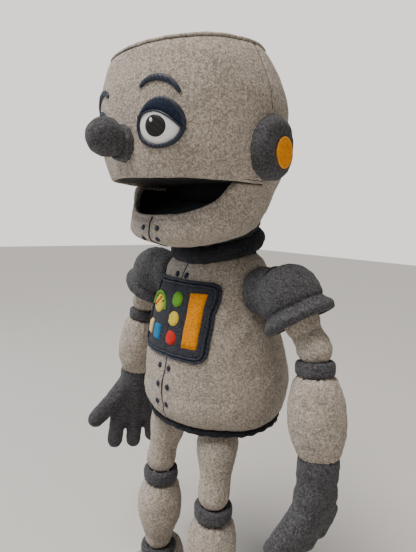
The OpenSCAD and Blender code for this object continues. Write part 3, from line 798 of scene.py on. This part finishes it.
# centre seam above and below the panel, and the rivets beside it
top_z, low_z = pc[1] + ph / 2 + 3, pc[1] - ph / 2 - 3
for name, z0, z1 in (("seam_upper", top_z, 483), ("seam_lower", 287, low_z)):
    line = [(1.2 * math.sin(z / 9), z) for z in np.linspace(z0, z1, 30)]
    done(chest.cord(name, line, 1.3, NAVY, -0.1), "torso")
rivets = [chest.patch("rivet", oval(3.0, 3.4, 18) + (x + 0.6 * math.sin(z), z), NAVY, 1.6, 0.7, 0.5, 3)
          for z in (458, 350, 328, 306) for x in (-8, 8)]
done(joined("body_rivet_stitches", rivets), "torso", "body_rivets")

# ---- Hem ----

HEM = 160
phi = np.arange(HEM) * TAU / HEM
hem_path = columns(86.2 * np.sin(phi), BODY_Y - 78 * np.cos(phi), 279.6 + 0.5 * np.sin(9 * phi)) * MM
# the hem roll in the darker charcoal fleece: painted shade under the belly
hem = swept("hem_roll", hem_path, np.full(HEM, 3.9 * MM), SHADED_CHARCOAL, None, 18, True, 0.98)
co = points(hem)
push(hem, 0.5 * MM * waves(co, 0.012, 21)
     + 0.35 * MM * np.sin(34 * np.arctan2(co[:, 0], co[:, 1] - BODY_Y * MM)))
done(hem, "torso", "hem_band")
seat_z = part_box("base_panel")[0].z / MM + 3.6
edge = columns(84 * np.sin(PHI), BODY_Y - 76 * np.cos(PHI), seat_z) * MM
entry = columns(50.5 * np.sin(PHI), 84 - 28.5 * np.cos(PHI), seat_z) * MM
sag = np.array([0, 0, 2.4]) * MM
seat_rows = [edge + (entry - edge) * t - sag * math.sin(math.pi * min(1, 1.15 * t)) ** 0.7
             for t in np.linspace(0, 1, 15)]
seat = skin("seat_panel", seat_rows, GREY, NEITHER)
lumps(seat, (0.5, 0.03, 24))
done(thickened(seat, 1.5), "torso", "base_panel")
# height, half width, half depth, middle in Y
SLEEVE = np.array([[276.5, 50, 28, 84], [380, 46, 33, 61], [440, 37, 33, 50], [487.5, 34, 34, 45]])
wide, deep, mid_y = (curve_through(SLEEVE[:, 0], SLEEVE[:, i]) for i in (1, 2, 3))
sleeve = skin("hand_sleeve_tube", [
    columns((wide(z) - 0.4) * np.sin(PHI), mid_y(z) - (deep(z) - 0.4) * np.cos(PHI), z) * MM
    for z in np.linspace(SLEEVE[0, 0], SLEEVE[-1, 0], 48)], LINING, NEITHER)
lumps(sleeve, (0.4, 0.02, 25))
done(thickened(sleeve, 0.8), "torso", "hand_sleeve")

# ---- Neck ----

LEAN = math.radians(17)
axis = np.array([0, -math.sin(LEAN), math.cos(LEAN)])
pivot = PIVOT["head_nod"]


# neck folds in the darker charcoal fleece: painted shade under the head
def neck_roll(name, up, ring_r, tube_r, squeeze, seed):
    prof = [(up + squeeze * tube_r * math.sin(a), ring_r + tube_r * math.cos(a))
            for a in np.linspace(0, TAU, 26)]
    o = welded(turned_piece(name, pivot, axis, prof[:-1] + prof[:1], SHADED_CHARCOAL, 110, NEITHER))
    co = points(o)
    _, phi, _ = polar(co, pivot, axis)
    r = np.random.default_rng(seed)
    fold = sum(share * np.sin(k * phi + r.uniform(0, TAU) + 90 * (co @ axis))
               for k, share in ((23, 0.5), (14, 0.5), (5, 0.7)))
    return push(o, MM * (0.55 * fold + 0.5 * waves(co, 0.012, seed)))


done(neck_roll("neck_roll_lower", -10, 49.5, 10.6, 0.98, 31), "torso", "neck_fold_lower")
done(neck_roll("neck_roll_upper", 11, 47, 10.2, 1.0, 32), "neck", "neck_fold_upper")
d, u, v = basis(axis)
collar_ring = [pivot + d * -12 * MM + (math.cos(a) * u + math.sin(a) * v) * 46 * MM for a in PHI]
low_ring = torso_ring(484, np.array([math.atan2(p[0], BODY_Y * MM - p[1]) for p in collar_ring]), -3)
root_rings = [low_ring + (np.array(collar_ring) - low_ring) * t for t in np.linspace(-0.15, 1, 12)]
# the neck's root in the darker charcoal fleece: painted shade under the head
neck_root = skin("neck_root_tube", root_rings, SHADED_CHARCOAL, NEITHER)
lumps(neck_root, (0.6, 0.014, 33))
done(neck_root, "torso", ())
# the cloth that goes on up from the neck, into the hollow of the jaw, in the darker charcoal fleece of
# painted shade
throat = turned_piece("throat_lining", pivot, axis,
                      smooth_profile([(10, 46), (20, 45.5), (30, 44), (39, 42)]), SHADED_CHARCOAL, 90, NEITHER)
gathers(throat, pivot, axis, 14, 14, 0.8, 17, 34)
done(thickened(throat, 1.2), "neck", ())

# ---- Head ----

# height, half width, front, back, middle in Y, squareness of the face in plan
HEAD = np.array([[530, 75.5, -80, 91, -2, 2], [545, 86, -88, 91.5, -2, 2], [562, 95.85, -95.4, 91.7, -2, 2],
                 [572, 101.2, -98.6, 94.4, -2.5, 2.02], [592, 105.4, -101.6, 96.1, -3.2, 2.18],
                 [640, 106.5, -103.2, 95.5, -4.6, 2.3], [672, 98.5, -99.6, 83.9, -8.5, 2.3],
                 [699, 84.1, -93.4, 68.9, -12.6, 2.05], [716, 73, -85, 54, -15.5, 2]])
head_w, head_f, head_b, head_c, head_n = (curve_through(HEAD[:, 0], HEAD[:, k]) for k in range(1, 6))
TILT = math.radians(8)
TOP = 695.6
CROWN_Y = -14


def head_point(z, phi, grow=0.0):
    z = z * np.ones(len(phi))
    s, c = np.sin(phi), np.cos(phi)
    power = np.where(c > 0, 2 / head_n(z), 1.0)
    reach = np.where(c > 0, head_c(z) - head_f(z), head_b(z) - head_c(z)) + grow
    x = (head_w(z) + grow) * np.sign(s) * np.abs(s) ** power
    return columns(x, head_c(z) - reach * np.sign(c) * np.abs(c) ** power, z)


def crown_z(y):
    """Height of the seam round the head's top, at a place along Y."""
    return TOP + math.tan(TILT) * (y - CROWN_Y)


AROUND = 168
phi = np.arange(AROUND) * TAU / AROUND
phi = phi - 0.22 * np.sin(4 * phi) / 4
SEAM_Y = 9.0
bottom = 562 - 29 * eased((-np.cos(phi) * 94 - SEAM_Y) / 5)
seam = np.full(AROUND, TOP)
for _ in range(4):
    seam = crown_z(head_point(seam, phi)[:, 1])
rows = [head_point(bottom + up, phi, -inset)
        for inset, up in ((6, 4), (4, 1), (2.4, 0.1), (1.2, 0.1), (0.3, 0.9))]
for s in np.linspace(0, 1, 56):
    z = bottom + 2 + (seam - bottom - 2) * s
    rows.append(head_point(z, phi, -1.3 * math.exp(-(1 - s) * 70)))
middle = np.array([0, CROWN_Y, TOP])
rim = head_point(seam, phi)
normal = np.array([0, -math.sin(TILT), math.cos(TILT)])
for f, h in ((0.984, 0.2), (0.995, 0.8), (0.996, 1.7), (0.985, 2.8), (0.965, 3.8), (0.935, 4.6), (0.9, 5.1),
             (0.84, 5.5), (0.7, 5.8), (0.5, 6), (0.3, 6), (0.1, 6)):
    rows.append(middle + (rim - middle) * f + normal * h)
head = skin("head_skin", [r * MM for r in rows], GREY, END)
lumps(head, (0.5, 0.05, 41), (0.2, 0.013, 42))
co = points(head)
EAR_Y, EAR_Z = 0.004, 0.597


def seam_line(z):
    """How far back the side seam of the head lies at a height."""
    return (SEAM_Y - 9 * np.clip((z - 600) / 32, 0, 1) - 8 * np.clip((z - 632) / 43, 0, 1)
            + 6 * np.clip((563 - z) / 4, 0, 1)) * MM


wall = (np.abs(co[:, 0]) > 0.04) & (co[:, 2] < 0.699)
push(head, -1.3 * MM * bell(co[:, 1] - seam_line(co[:, 2] / MM), 0.0022) * wall)
co = points(head)
angle = np.arctan2(co[:, 2] - EAR_Z, co[:, 1] - EAR_Y)
ear_far = np.hypot(co[:, 1] - EAR_Y, co[:, 2] - EAR_Z)
push(head, (np.abs(co[:, 0]) > 0.06) * np.exp(-np.clip(ear_far - 0.027, 0, 1) / 0.008)
     * MM * (0.5 * np.sin(13 * angle) - 0.7))
done(head, "head", ("head_shell", "head_top_panel"))
face = Surface(head)

# painted seam shadow: a dark cord round the crown seam
ring = []
for t in np.linspace(0, TAU, 145)[:-1]:
    z = crown_z(head_point(TOP, np.array([t]))[0, 1])
    ring.append(face.towards(head_point(z, np.array([t]), 30)[0], (0, -10, z), -0.5))
done(cord_of("crown_seam_shadow", ring, 0.75, SEAM_SHADOW, 8, True), "head")
for side, k in SIDES:
    # painted seam shadow: dark cords along the side and cheek seams
    threads = [(f"side_seam_{part}_{side}", 0.7, [(seam_line(z) / MM, z) for z in np.linspace(z0, z1, 26)])
               for part, z0, z1 in (("upper", 634, 697), ("lower", 537, 566))]
    threads.append((f"cheek_seam_{side}", 0.6, [(y, 564.6) for y in np.linspace(-24, SEAM_Y, 16)]))
    for name, width, line in threads:
        got = [face.towards((k * 140, y, z), (0, y, z), -0.35) for y, z in line]
        done(cord_of(name, got, width, SEAM_SHADOW), "head")

# ---- Nose, ears ----

nose_lo, nose_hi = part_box("nose")
nose_base = np.array([0, nose_hi.y + 0.0015, (nose_lo.z + nose_hi.z) / 2 - 0.002])
nr = (nose_hi.x - nose_lo.x) / MM / 2
nose_way = np.array([0, -1, 0.16])
ball = -nose_lo.y / MM + nose_base[1] / MM - nr
prof = [(-6, 14), (0, 14.2), (4, 14.3), (ball - 10, 16.2)]
prof += [(ball + nr * math.sin(a), nr * math.cos(a)) for a in np.linspace(-0.35, math.pi / 2, 14)]
nose = turned_piece("nose_ball", nose_base, nose_way, smooth_profile(prof, 1.6), CHARCOAL, 56)
lumps(nose, (0.3, 0.01, 51))
done(nose, "head", "nose")
FRONT = (0, -1, 0)
collar = turned_piece("nose_collar_roll", nose_base, FRONT, smooth_profile(
    [(-6, 18.4), (-2, 18.2), (1, 17.8), (3.6, 17.2), (5.4, 16.2), (6, 15), (5, 14), (2, 13.4),
     (-4, 13.2)], 1.3),
    CHARCOAL, 64, NEITHER)
co = points(collar)
_, a, _ = polar(co, nose_base, FRONT)
push(collar, MM * (0.25 * np.sin(11 * a) + 0.3 * waves(co, 0.009, 52)))
done(collar, "head", "nose_collar")

for side, k in SIDES:
    lo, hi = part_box(f"ear_{side}")
    outer = (hi.x if k > 0 else -lo.x) / MM
    er = (hi.z - lo.z) / MM / 2
    way = np.array([k, 0.12, -0.03])
    way /= np.linalg.norm(way)
    c = np.array([k * 0.103, (lo.y + hi.y) / 2, (lo.z + hi.z) / 2]) - way * 0.011
    h = outer - 90
    prof = [(-2, er - 1.5), (h * 0.35, er - 0.3), (h - 9.5, er - 0.6), (h - 6, er - 1.6), (h - 3, er - 4.2),
            (h - 1.2, er - 8.2), (h - 0.5, er - 12.5), (h - 0.9, 17), (h - 1.4, 14), (h - 1.4, 7),
            (h - 1.4, 0)]
    ear = turned_piece(f"ear_{side}_puck", c, way, smooth_profile(prof, 2.0), CHARCOAL, 72, END)
    lumps(ear, (0.35, 0.011, 60 + k), (0.4, 0.03, 63))
    done(ear, "head", f"ear_{side}")
    face_c = c + way * (h - 1.6) * MM + (0, 0.0042, -0.004)
    disc = turned_piece(f"ear_{side}_disc", face_c, way, smooth_profile(
        [(-1.5, 14.6), (1.2, 14.4), (1.9, 13.6), (2.2, 12.2), (2.4, 8), (2.5, 0)], 1.4),
        ORANGE, 56, END)
    stitch = turned_piece(f"ear_{side}_stitch", face_c, way,
                          [(1.1 + 0.9 * math.sin(a), 14.2 + 1.2 * math.cos(a))
                           for a in np.linspace(0, TAU, 11)],
                          STITCH, 110, NEITHER)
    co = points(stitch)
    _, a, _ = polar(co, face_c, way)
    push(stitch, 0.22 * MM * np.sin(55 * a))
    done(joined(f"ear_{side}_badge", [disc, stitch]), "head", "ear_discs" if k > 0 else ())

# ---- Eyes and brows ----

LOWER_LID = curve_through([-25, -21.5, -17.5, -11.3, -4.5, 3.4, 10.2, 15.8, 20.3, 25],
                          [2.5, 4.5, 7.6, 9.8, 10.4, 8.6, 4.6, 0, -4.6, -8])
LID_LIFT = (0.6, 2.2, 2.7, 2.8, 2.7, 2.3, 1.2)
for side, k in SIDES:
    c = np.array([k * 48.0, 610.0])

    def egg(rx, rz, n=56):
        pts = oval(rx, rz, n)
        pts[:, 0] *= 1 - 0.07 * pts[:, 1] / rz
        pts[:, 0] += 1.2 * pts[:, 1] / rz
        return pts * (k, 1) + c

    def eye_piece(o, cad):
        """Both eyes' pieces are one CAD node, which the left one stands for."""
        done(o, "head", cad if k > 0 else ())

    eye_piece(face.patch(f"eye_{side}_white", egg(20.8, 19.2), WHITE, 0.7, 1.3, 0.5, 8), "eye_whites")
    around = np.arange(84) * TAU / 84
    heavy = 2.1 + 0.7 * np.clip(np.cos(around - math.radians(10)), 0, 1)
    eye_piece(face.cord(f"eye_{side}_rim", egg(21.9, 20.6, 84), heavy, NAVY, 0.7, 0.6, True, 12), "eye_rims")
    arc = sorted((x, z) for x, z in (egg(21.5, 20.4, 120) - c) * (k, 1)
                 if z > LOWER_LID(x) + 0.8 and z > -6 + 0.2 * x)
    steps = len(LID_LIFT)
    xs = np.linspace(-21.2, 21.6, 36)
    verts = []
    for x in xs:
        low = LOWER_LID(x)
        high = max(low + 0.4, np.interp(x, *zip(*arc)))
        verts += [face.at(x * k + c[0], low + (high - low) * t + c[1], lift)[0]
                  for t, lift in zip(np.linspace(0, 1, steps), LID_LIFT)]
    faces = [(i + j, i + steps + j, i + steps + j + 1, i + j + 1)
             for i in range(0, (len(xs) - 1) * steps, steps) for j in range(steps - 1)]
    lid = make(f"eye_{side}_lid", verts, faces if k > 0 else [f[::-1] for f in faces], LID)
    edge = [(x * k + c[0], LOWER_LID(x) + c[1]) for x in np.linspace(-21.2, 20.9, 40)]
    lash = face.cord(f"eye_{side}_lash", edge, 0.9, NAVY, 1.9, 0.8)
    eye_piece(joined(f"eye_{side}_lid_stitches", [lid, lash]), "eyelids")
    mid = c + (k * -2.0, -2.2)
    iris = face.patch(f"eye_{side}_iris", oval(12.6, 11.8) + mid, OLIVE, 1.6, 0.5, 0.5, 5)
    pupil = face.patch(f"eye_{side}_black", oval(11.8, 11.1) + mid, BLACK, 2.0, 0.5, 0.5, 5)
    glint = face.patch(f"eye_{side}_glint", oval(2.3, 2.9, 20) + mid + (-3.6, 4.6), GLINT, 2.7, 0.3, 0.2, 2)
    eye_piece(joined(f"eye_{side}_pupil", [iris, pupil, glint]), "pupils")
    t = np.linspace(0, 1, 36)
    turn = np.radians(133 - 108 * t)
    line = columns(k * (44.5 + 25.5 * np.cos(turn)), 624.8 + 25.2 * np.sin(turn))
    widths = 1.5 + 1.8 * np.sin(np.pi * t ** 0.9) ** 0.8
    eye_piece(face.cord(f"brow_{side}", line, widths, NAVY, 0.8), "brows")

# ---- Mouth ----


def grid_of(rows, name, mat):
    """Open surface through rows of points, in millimetres."""
    n = len(rows[0])
    verts = [np.array(p) * MM for r in rows for p in r]
    faces = [(i * n + j, i * n + j + 1, (i + 1) * n + j + 1, (i + 1) * n + j)
             for i in range(len(rows) - 1) for j in range(n - 1)]
    return make(name, verts, faces, mat)


x = np.linspace(-1, 1, 65)
lip = head_point(566.0, np.arcsin(x * 0.96), -4.5)
roof = grid_of([columns(lip[:, 0], 24 + (lip[:, 1] - 24) * r,
                        565.5 + 5.0 * np.sin(np.pi * r) * np.cos(x * math.pi / 2))
                for r in np.linspace(0, 1, 18)], "mouth_roof_lining", LINING)
lumps(roof, (0.5, 0.02, 71))
done(thickened(roof, 1.5), "head", "mouth_roof")

# ---- Jaw: a bowl in its own frame, level at the rim, turned open about the hinge ----


def opened(q):
    q = np.asarray(q, float)
    c, s = math.cos(OPEN), math.sin(OPEN)
    return columns(q[..., 0], c * q[..., 1] - s * q[..., 2] + HINGE[1] / MM,
                   s * q[..., 1] + c * q[..., 2] + HINGE[2] / MM)


BOWL = np.array([0, -17])
NECK_CLEAR = 60.5
FLARE = 0.055
theta = np.linspace(-math.radians(112), math.radians(112), 121)
theta = theta - 0.16 * np.sin(2 * theta)
sn, cs = np.sin(theta), np.cos(theta)
squared = np.where(cs > 0, 1 / 1.08, 1.0)
dir_x, dir_y = np.sign(sn) * np.abs(sn) ** squared, -np.sign(cs) * np.abs(cs) ** squared
inner_plan = columns(80 * dir_x, BOWL[1] + np.where(cs > 0, 73, 46) * dir_y)
outer_plan = columns(88 * dir_x, BOWL[1] + np.where(cs > 0, 79.5, 54) * dir_y)
corner_rise = curve_through([0, 25, 35, 46, 54, 60, 66, 71, 76], [-1, -1, 0.5, 3, 6.5, 11, 15.5, 19, 20])
from_front = np.degrees(np.abs(theta))
rim_z = np.minimum(corner_rise(np.minimum(from_front, 76)), -inner_plan[:, 1] * math.tan(OPEN) + 1.4)
cheek = eased((from_front - 52) / 22)


def bowl_row(f, z, plan=outer_plan):
    """Row of the bowl at a share of its plan, at a height that may differ round it."""
    p = BOWL + (plan - BOWL) * np.asarray(f)[..., None]
    return columns(p[:, 0], p[:, 1], z)


rows = []
for out, dz in ((0, -9), (0.02, -5), (0.1, -2.2), (0.28, -0.5), (0.5, 0.3), (0.72, -0.2), (0.9, -1.6),
                (1, -3.6)):
    q = inner_plan + (outer_plan * (1 + FLARE * cheek[:, None] * out) - inner_plan) * out
    rows.append(columns(q[:, 0], q[:, 1], rim_z + dz * (1 - 0.45 * cheek)))
for t in np.linspace(0, 1, 17)[1:]:
    z = (rim_z - 3.6) * (1 - t) ** 1.3 - 42.5 * t
    f = (27 + np.sqrt(55 ** 2 - np.clip(-z - 3, 0, 60) ** 2)) / 82
    f = f * (1 + 0.19 * np.clip(cs, 0, 1) * bell(-z - 24, 15))
    rows.append(bowl_row(f * (1 + FLARE * cheek * (1 - t) ** 2), z))
rows += [bowl_row(f, z) for f, z in ((0.79, -43.9), (0.72, -44.8), (0.6, -45.4), (0.45, -45.7), (0.3, -45.8),
                                     (0.15, -45.8), (0.02, -45.8))]
jaw_rows = np.array([opened(r) for r in rows])

# the neck comes up through the underside, so each column stops where it would meet it
q = jaw_rows - pivot / MM
along = q @ axis
away = np.linalg.norm(q - along[..., None] * axis, axis=-1)
inside = (away < NECK_CLEAR) & (along < 40)
for j in range(len(theta)):
    hit = np.nonzero(inside[:, j])[0]
    if len(hit) and hit[0] > 0:
        i = hit[0]
        t = (away[i - 1, j] - NECK_CLEAR) / max(away[i - 1, j] - away[i, j], 1e-6)
        jaw_rows[i:, j] = jaw_rows[i - 1, j] + (jaw_rows[i, j] - jaw_rows[i - 1, j]) * min(max(t, 0), 1)
jaw = subdivided(welded(grid_of(jaw_rows, "jaw_skin", GREY), 0.0003))
if np.sum(outward(jaw) * (points(jaw) - (0, 0, 0.545))) < 0:
    jaw.data.flip_normals()
lumps(jaw, (0.45, 0.03, 81), (0.2, 0.012, 82))
jaw_face = Surface(jaw)


def chin(x, z, lift=0.0):
    """Point on the front of the chin, x across and z down the jaw's own frame."""
    return jaw_face.towards(opened((x, -140, z)), opened((x, 0, z)), lift)


thread = [chin(0.8 * math.sin(z / 5), z, 0.1) for z in np.linspace(-2.0, -40, 26)]
done(cord_of("chin_seam", thread, 0.95, NAVY), "jaw")
dots = [turned_piece("dot", *chin(x, z, 0.2), [(-1.2, 3.1), (0.4, 3.0), (1.1, 2.3), (1.4, 1.2), (1.5, 0)],
                     NAVY, 20, END) for x in (-12, 12) for z in (-12, -23.5)]
done(joined("chin_rivet_stitches", dots), "jaw", "chin_rivets")


def blended(o, cad):
    """A piece that is one cloth with the head at the hinge and with the jaw in front: its placement is baked
    into its mesh and the CAD node it stands for is hidden.
    """
    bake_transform(o)
    labelled(cad)


blended(thickened(jaw, 2.0), "jaw_shell")
mouth = grid_of([opened(bowl_row(1 - t ** 1.4, (rim_z - 5) * (1 - t) ** 2 - 13.5 * (1 - (1 - t) ** 2),
                                 inner_plan * 1.004)) for t in np.linspace(0, 1, 16)],
                "mouth_floor_lining", LINING)
lumps(mouth, (0.4, 0.02, 72))
blended(thickened(mouth, 1.2), "mouth_floor")

# the fold of lining across the back of the mouth
x = np.linspace(-84, 84, 41)
fold = grid_of([columns(x, 24 - 10 * (1 - (x / 84) ** 2) - 3 * math.sin(math.pi * t), 567 - 22 * t)
                for t in np.linspace(0, 1, 10)], "mouth_fold", LINING)
lumps(fold, (0.5, 0.015, 73))
done(thickened(fold, 1.0), "head", ())

# ---- Limb details ----


def band(name, a, direction, top_at, radius, height, seed):
    """Ring of fleece with rolled edges, wider than the limb it holds."""
    edge = 3.2
    prof = [(0.6, -7), (-0.1, -4.5), (0.8, -1.6), (edge, 0), (height / 2, 0.25), (height - edge, 0),
            (height - 0.8, -1.6), (height + 0.1, -4.5), (height - 0.6, -7)]
    prof = [(top_at + t, radius + r) for t, r in prof]
    o = turned_piece(name, a, direction, smooth_profile(prof, 1.8), CHARCOAL, 64, NEITHER)
    co = points(o)
    _, phi, _ = polar(co, a, direction)
    push(o, MM * (0.4 * waves(co, 0.011, seed) + 0.2 * np.sin(17 * phi + seed)))
    return o


for o, a, direction, at, reach, depth, count, seed in (
        (upper_arm, shoulder, arm, arm_len - 3, 8, 0.5, 15, 91),
        (forearm, elbow, fore, fore_start, 9, 0.8, 17, 92),
        (forearm, elbow, fore, fore_start + length, 9, 0.6, 17, 93),
        (thigh, hip, knee - hip, thigh_len - 8, 9, 0.6, 15, 94), (shin, ankle, UP, shin_top, 9, 0.8, 17, 95),
        (shin, ankle, UP, 9, 7, 0.7, 17, 96), (cap, shoulder, arm, 14, 4, 0.7, 21, 97),
        (cap, shoulder, arm, -30, 9, 0.6, 12, 98)):
    gathers(o, a, direction, at, reach, depth, count, seed)

elbow_band = band("elbow_band_left_roll", elbow, fore, 11.5, 20.6, 15.5, 101)
DOWN, LEFT = (0, 0, -1), (1, 0, 0)
knee_band = band("knee_band_left_roll", knee, DOWN, 12, 23.2, 17, 102)
ankle_band = band("ankle_band_left_roll", ankle, DOWN, 12, 24, 18, 103)
root_at = (0.070, shoulder[1], shoulder[2])
root = turned_piece("shoulder_root_left_gather", root_at, LEFT, smooth_profile(
    [(-1, 24), (2, 26.4), (6, 27.6), (11, 28), (17, 28), (22, 29.2), (25, 30.4), (26.4, 30.4), (26, 29.4),
     (23, 27.4)], 1.6),
    CHARCOAL, 64, NEITHER)
gathers(root, root_at, LEFT, 3, 7, 1.0, 19, 99)

sr = (sole_hi.x - sole_lo.x) / MM / 2
y0, y1 = sole_lo.y / MM + sr, sole_hi.y / MM - sr


def stadium(inset, z):
    r = sr - inset
    a = np.linspace(0, math.pi, 30)
    c, s = r * np.cos(a), r * np.sin(a)
    return np.concatenate([columns(fx + c, y1 + s, z), columns(fx - c, y0 - s, z)]) * MM


sole = skin("sole_left_slab", [stadium(inset, z) for inset, z in (
    (12, 0), (3.5, 0), (1.2, 0.4), (0.2, 1.6), (0, 4.5), (0.1, 7.5), (1.0, 9.2), (3.0, 9.9), (8, 10.0))],
            CHARCOAL)
gathers(foot, (ankle[0], ankle[1], sole_hi.z), UP, 0, 5, 0.6, 26, 104)

for o, cad, body, fill in (
        (upper_arm, "upper_arm", "upper_arm", 0.7), (forearm, "forearm", "forearm", 0.8),
        (cap, "shoulder_cap", "upper_arm", 0.5), (root, "shoulder_root", "shoulder", 0.4),
        (elbow_band, "elbow_band", "forearm", 0.6), (thigh, "thigh", "thigh", 0.7),
        (shin, "shin", "shin", 0.8),
        (knee_band, "knee_band", "shin", 0.6), (ankle_band, "ankle_band", "foot", 0.6),
        (foot, "foot", "foot", 0.8), (sole, "sole", "foot", None)):
    twin = mirror_of(o, o.name.replace("left", "right"))
    done(o, f"{body}_left", f"{cad}_left")
    done(twin, f"{body}_right", f"{cad}_right")
done(hand_left, "hand_left", "hand_left")
done(hand_right, "hand_right", "hand_right")

# ---- CAD pieces that stay ----

for name, mat in (("torso_foam", FOAM), ("head_foam", FOAM), ("finger_pocket", LINING),
                  ("thumb_pocket", LINING)):
    mesh = frame["nodes"][name].data
    if not mesh.materials:
        mesh.materials.append(mat)
    for i in range(len(mesh.materials)):
        mesh.materials[i] = mat

# ---- Floor, light and camera ----

FLOOR = material("floor", (0.66, 0.64, 0.61), 0.9)[0]
make("floor", [(-6, -6, 0), (6, -6, 0), (6, 6, 0), (-6, 6, 0)], [(0, 1, 2, 3)], FLOOR)

world = bpy.data.worlds.new("studio")
scene.world = world
world.use_nodes = True
tree = world.node_tree
glow, wall = tree.nodes["Background"], tree.nodes.new("ShaderNodeBackground")
for background, color, strength in ((glow, (0.80, 0.80, 0.82, 1), 0.2), (wall, (0.80, 0.77, 0.74, 1), 1.75)):
    background.inputs[0].default_value = color
    background.inputs[1].default_value = strength
seen, either = tree.nodes.new("ShaderNodeLightPath"), tree.nodes.new("ShaderNodeMixShader")
for i, output in enumerate((seen.outputs["Is Camera Ray"], glow.outputs[0], wall.outputs[0])):
    tree.links.new(output, either.inputs[i])
tree.links.new(either.outputs[0], tree.nodes["World Output"].inputs[0])


def lamp(name, kind, power, color, at=(0, 0, 0), target=(0, 0, 0), **values):
    """A light at a place, shining towards a target."""
    light = bpy.data.lights.new(name, kind)
    light.energy, light.color = power, color
    for key, value in values.items():
        setattr(light, key, value)
    o = bpy.data.objects.new(name, light)
    scene.collection.objects.link(o)
    o.location = at
    o.rotation_euler = (Vector(target) - Vector(at)).to_track_quat("-Z", "Y").to_euler()


for name, at, target, size, power, color in (
        ("key", (0.1, -0.75, 1.65), (0, 0, 0.5), 0.5, 10, (1.0, 0.94, 0.87)),
        ("cool_window", (-1.3, -0.9, 0.75), (0, 0, 0.5), 0.9, 8, (0.78, 0.88, 1.0)),
        ("warm_side", (1.3, 0.1, 1.0), (0, 0, 0.45), 0.9, 2, (1.0, 0.86, 0.70))):
    lamp(name, "AREA", power, color, at, target, shape="DISK", size=size)
lamp("soft_sky", "SUN", 2.8, (1.0, 0.955, 0.9), target=(0.14, 0.36, -1), angle=math.radians(30))

AZIMUTH, YAW, PITCH, ROLL = (math.radians(v) for v in (46.74, -1.941, 7.723, 2.598))
DISTANCE = 0.502
eye = Vector((math.sin(AZIMUTH) * DISTANCE, -math.cos(AZIMUTH) * DISTANCE + 0.003, 0.524))
fwd = Vector((-math.sin(AZIMUTH + YAW) * math.cos(PITCH), math.cos(AZIMUTH + YAW) * math.cos(PITCH),
              -math.sin(PITCH)))
right = fwd.cross(Vector(UP)).normalized()
up = right.cross(fwd)
r2 = right * math.cos(ROLL) + up * math.sin(ROLL)
u2 = -right * math.sin(ROLL) + up * math.cos(ROLL)
camera = bpy.data.objects.new("camera", bpy.data.cameras.new("camera"))
scene.collection.objects.link(camera)
camera.matrix_world = Matrix([[r2.x, u2.x, -fwd.x, eye.x], [r2.y, u2.y, -fwd.y, eye.y],
                              [r2.z, u2.z, -fwd.z, eye.z], [0, 0, 0, 1]])
camera.data.sensor_fit = "VERTICAL"
camera.data.sensor_height = 24
camera.data.lens = 18.12
camera.data.clip_start = 0.01
scene.camera = camera
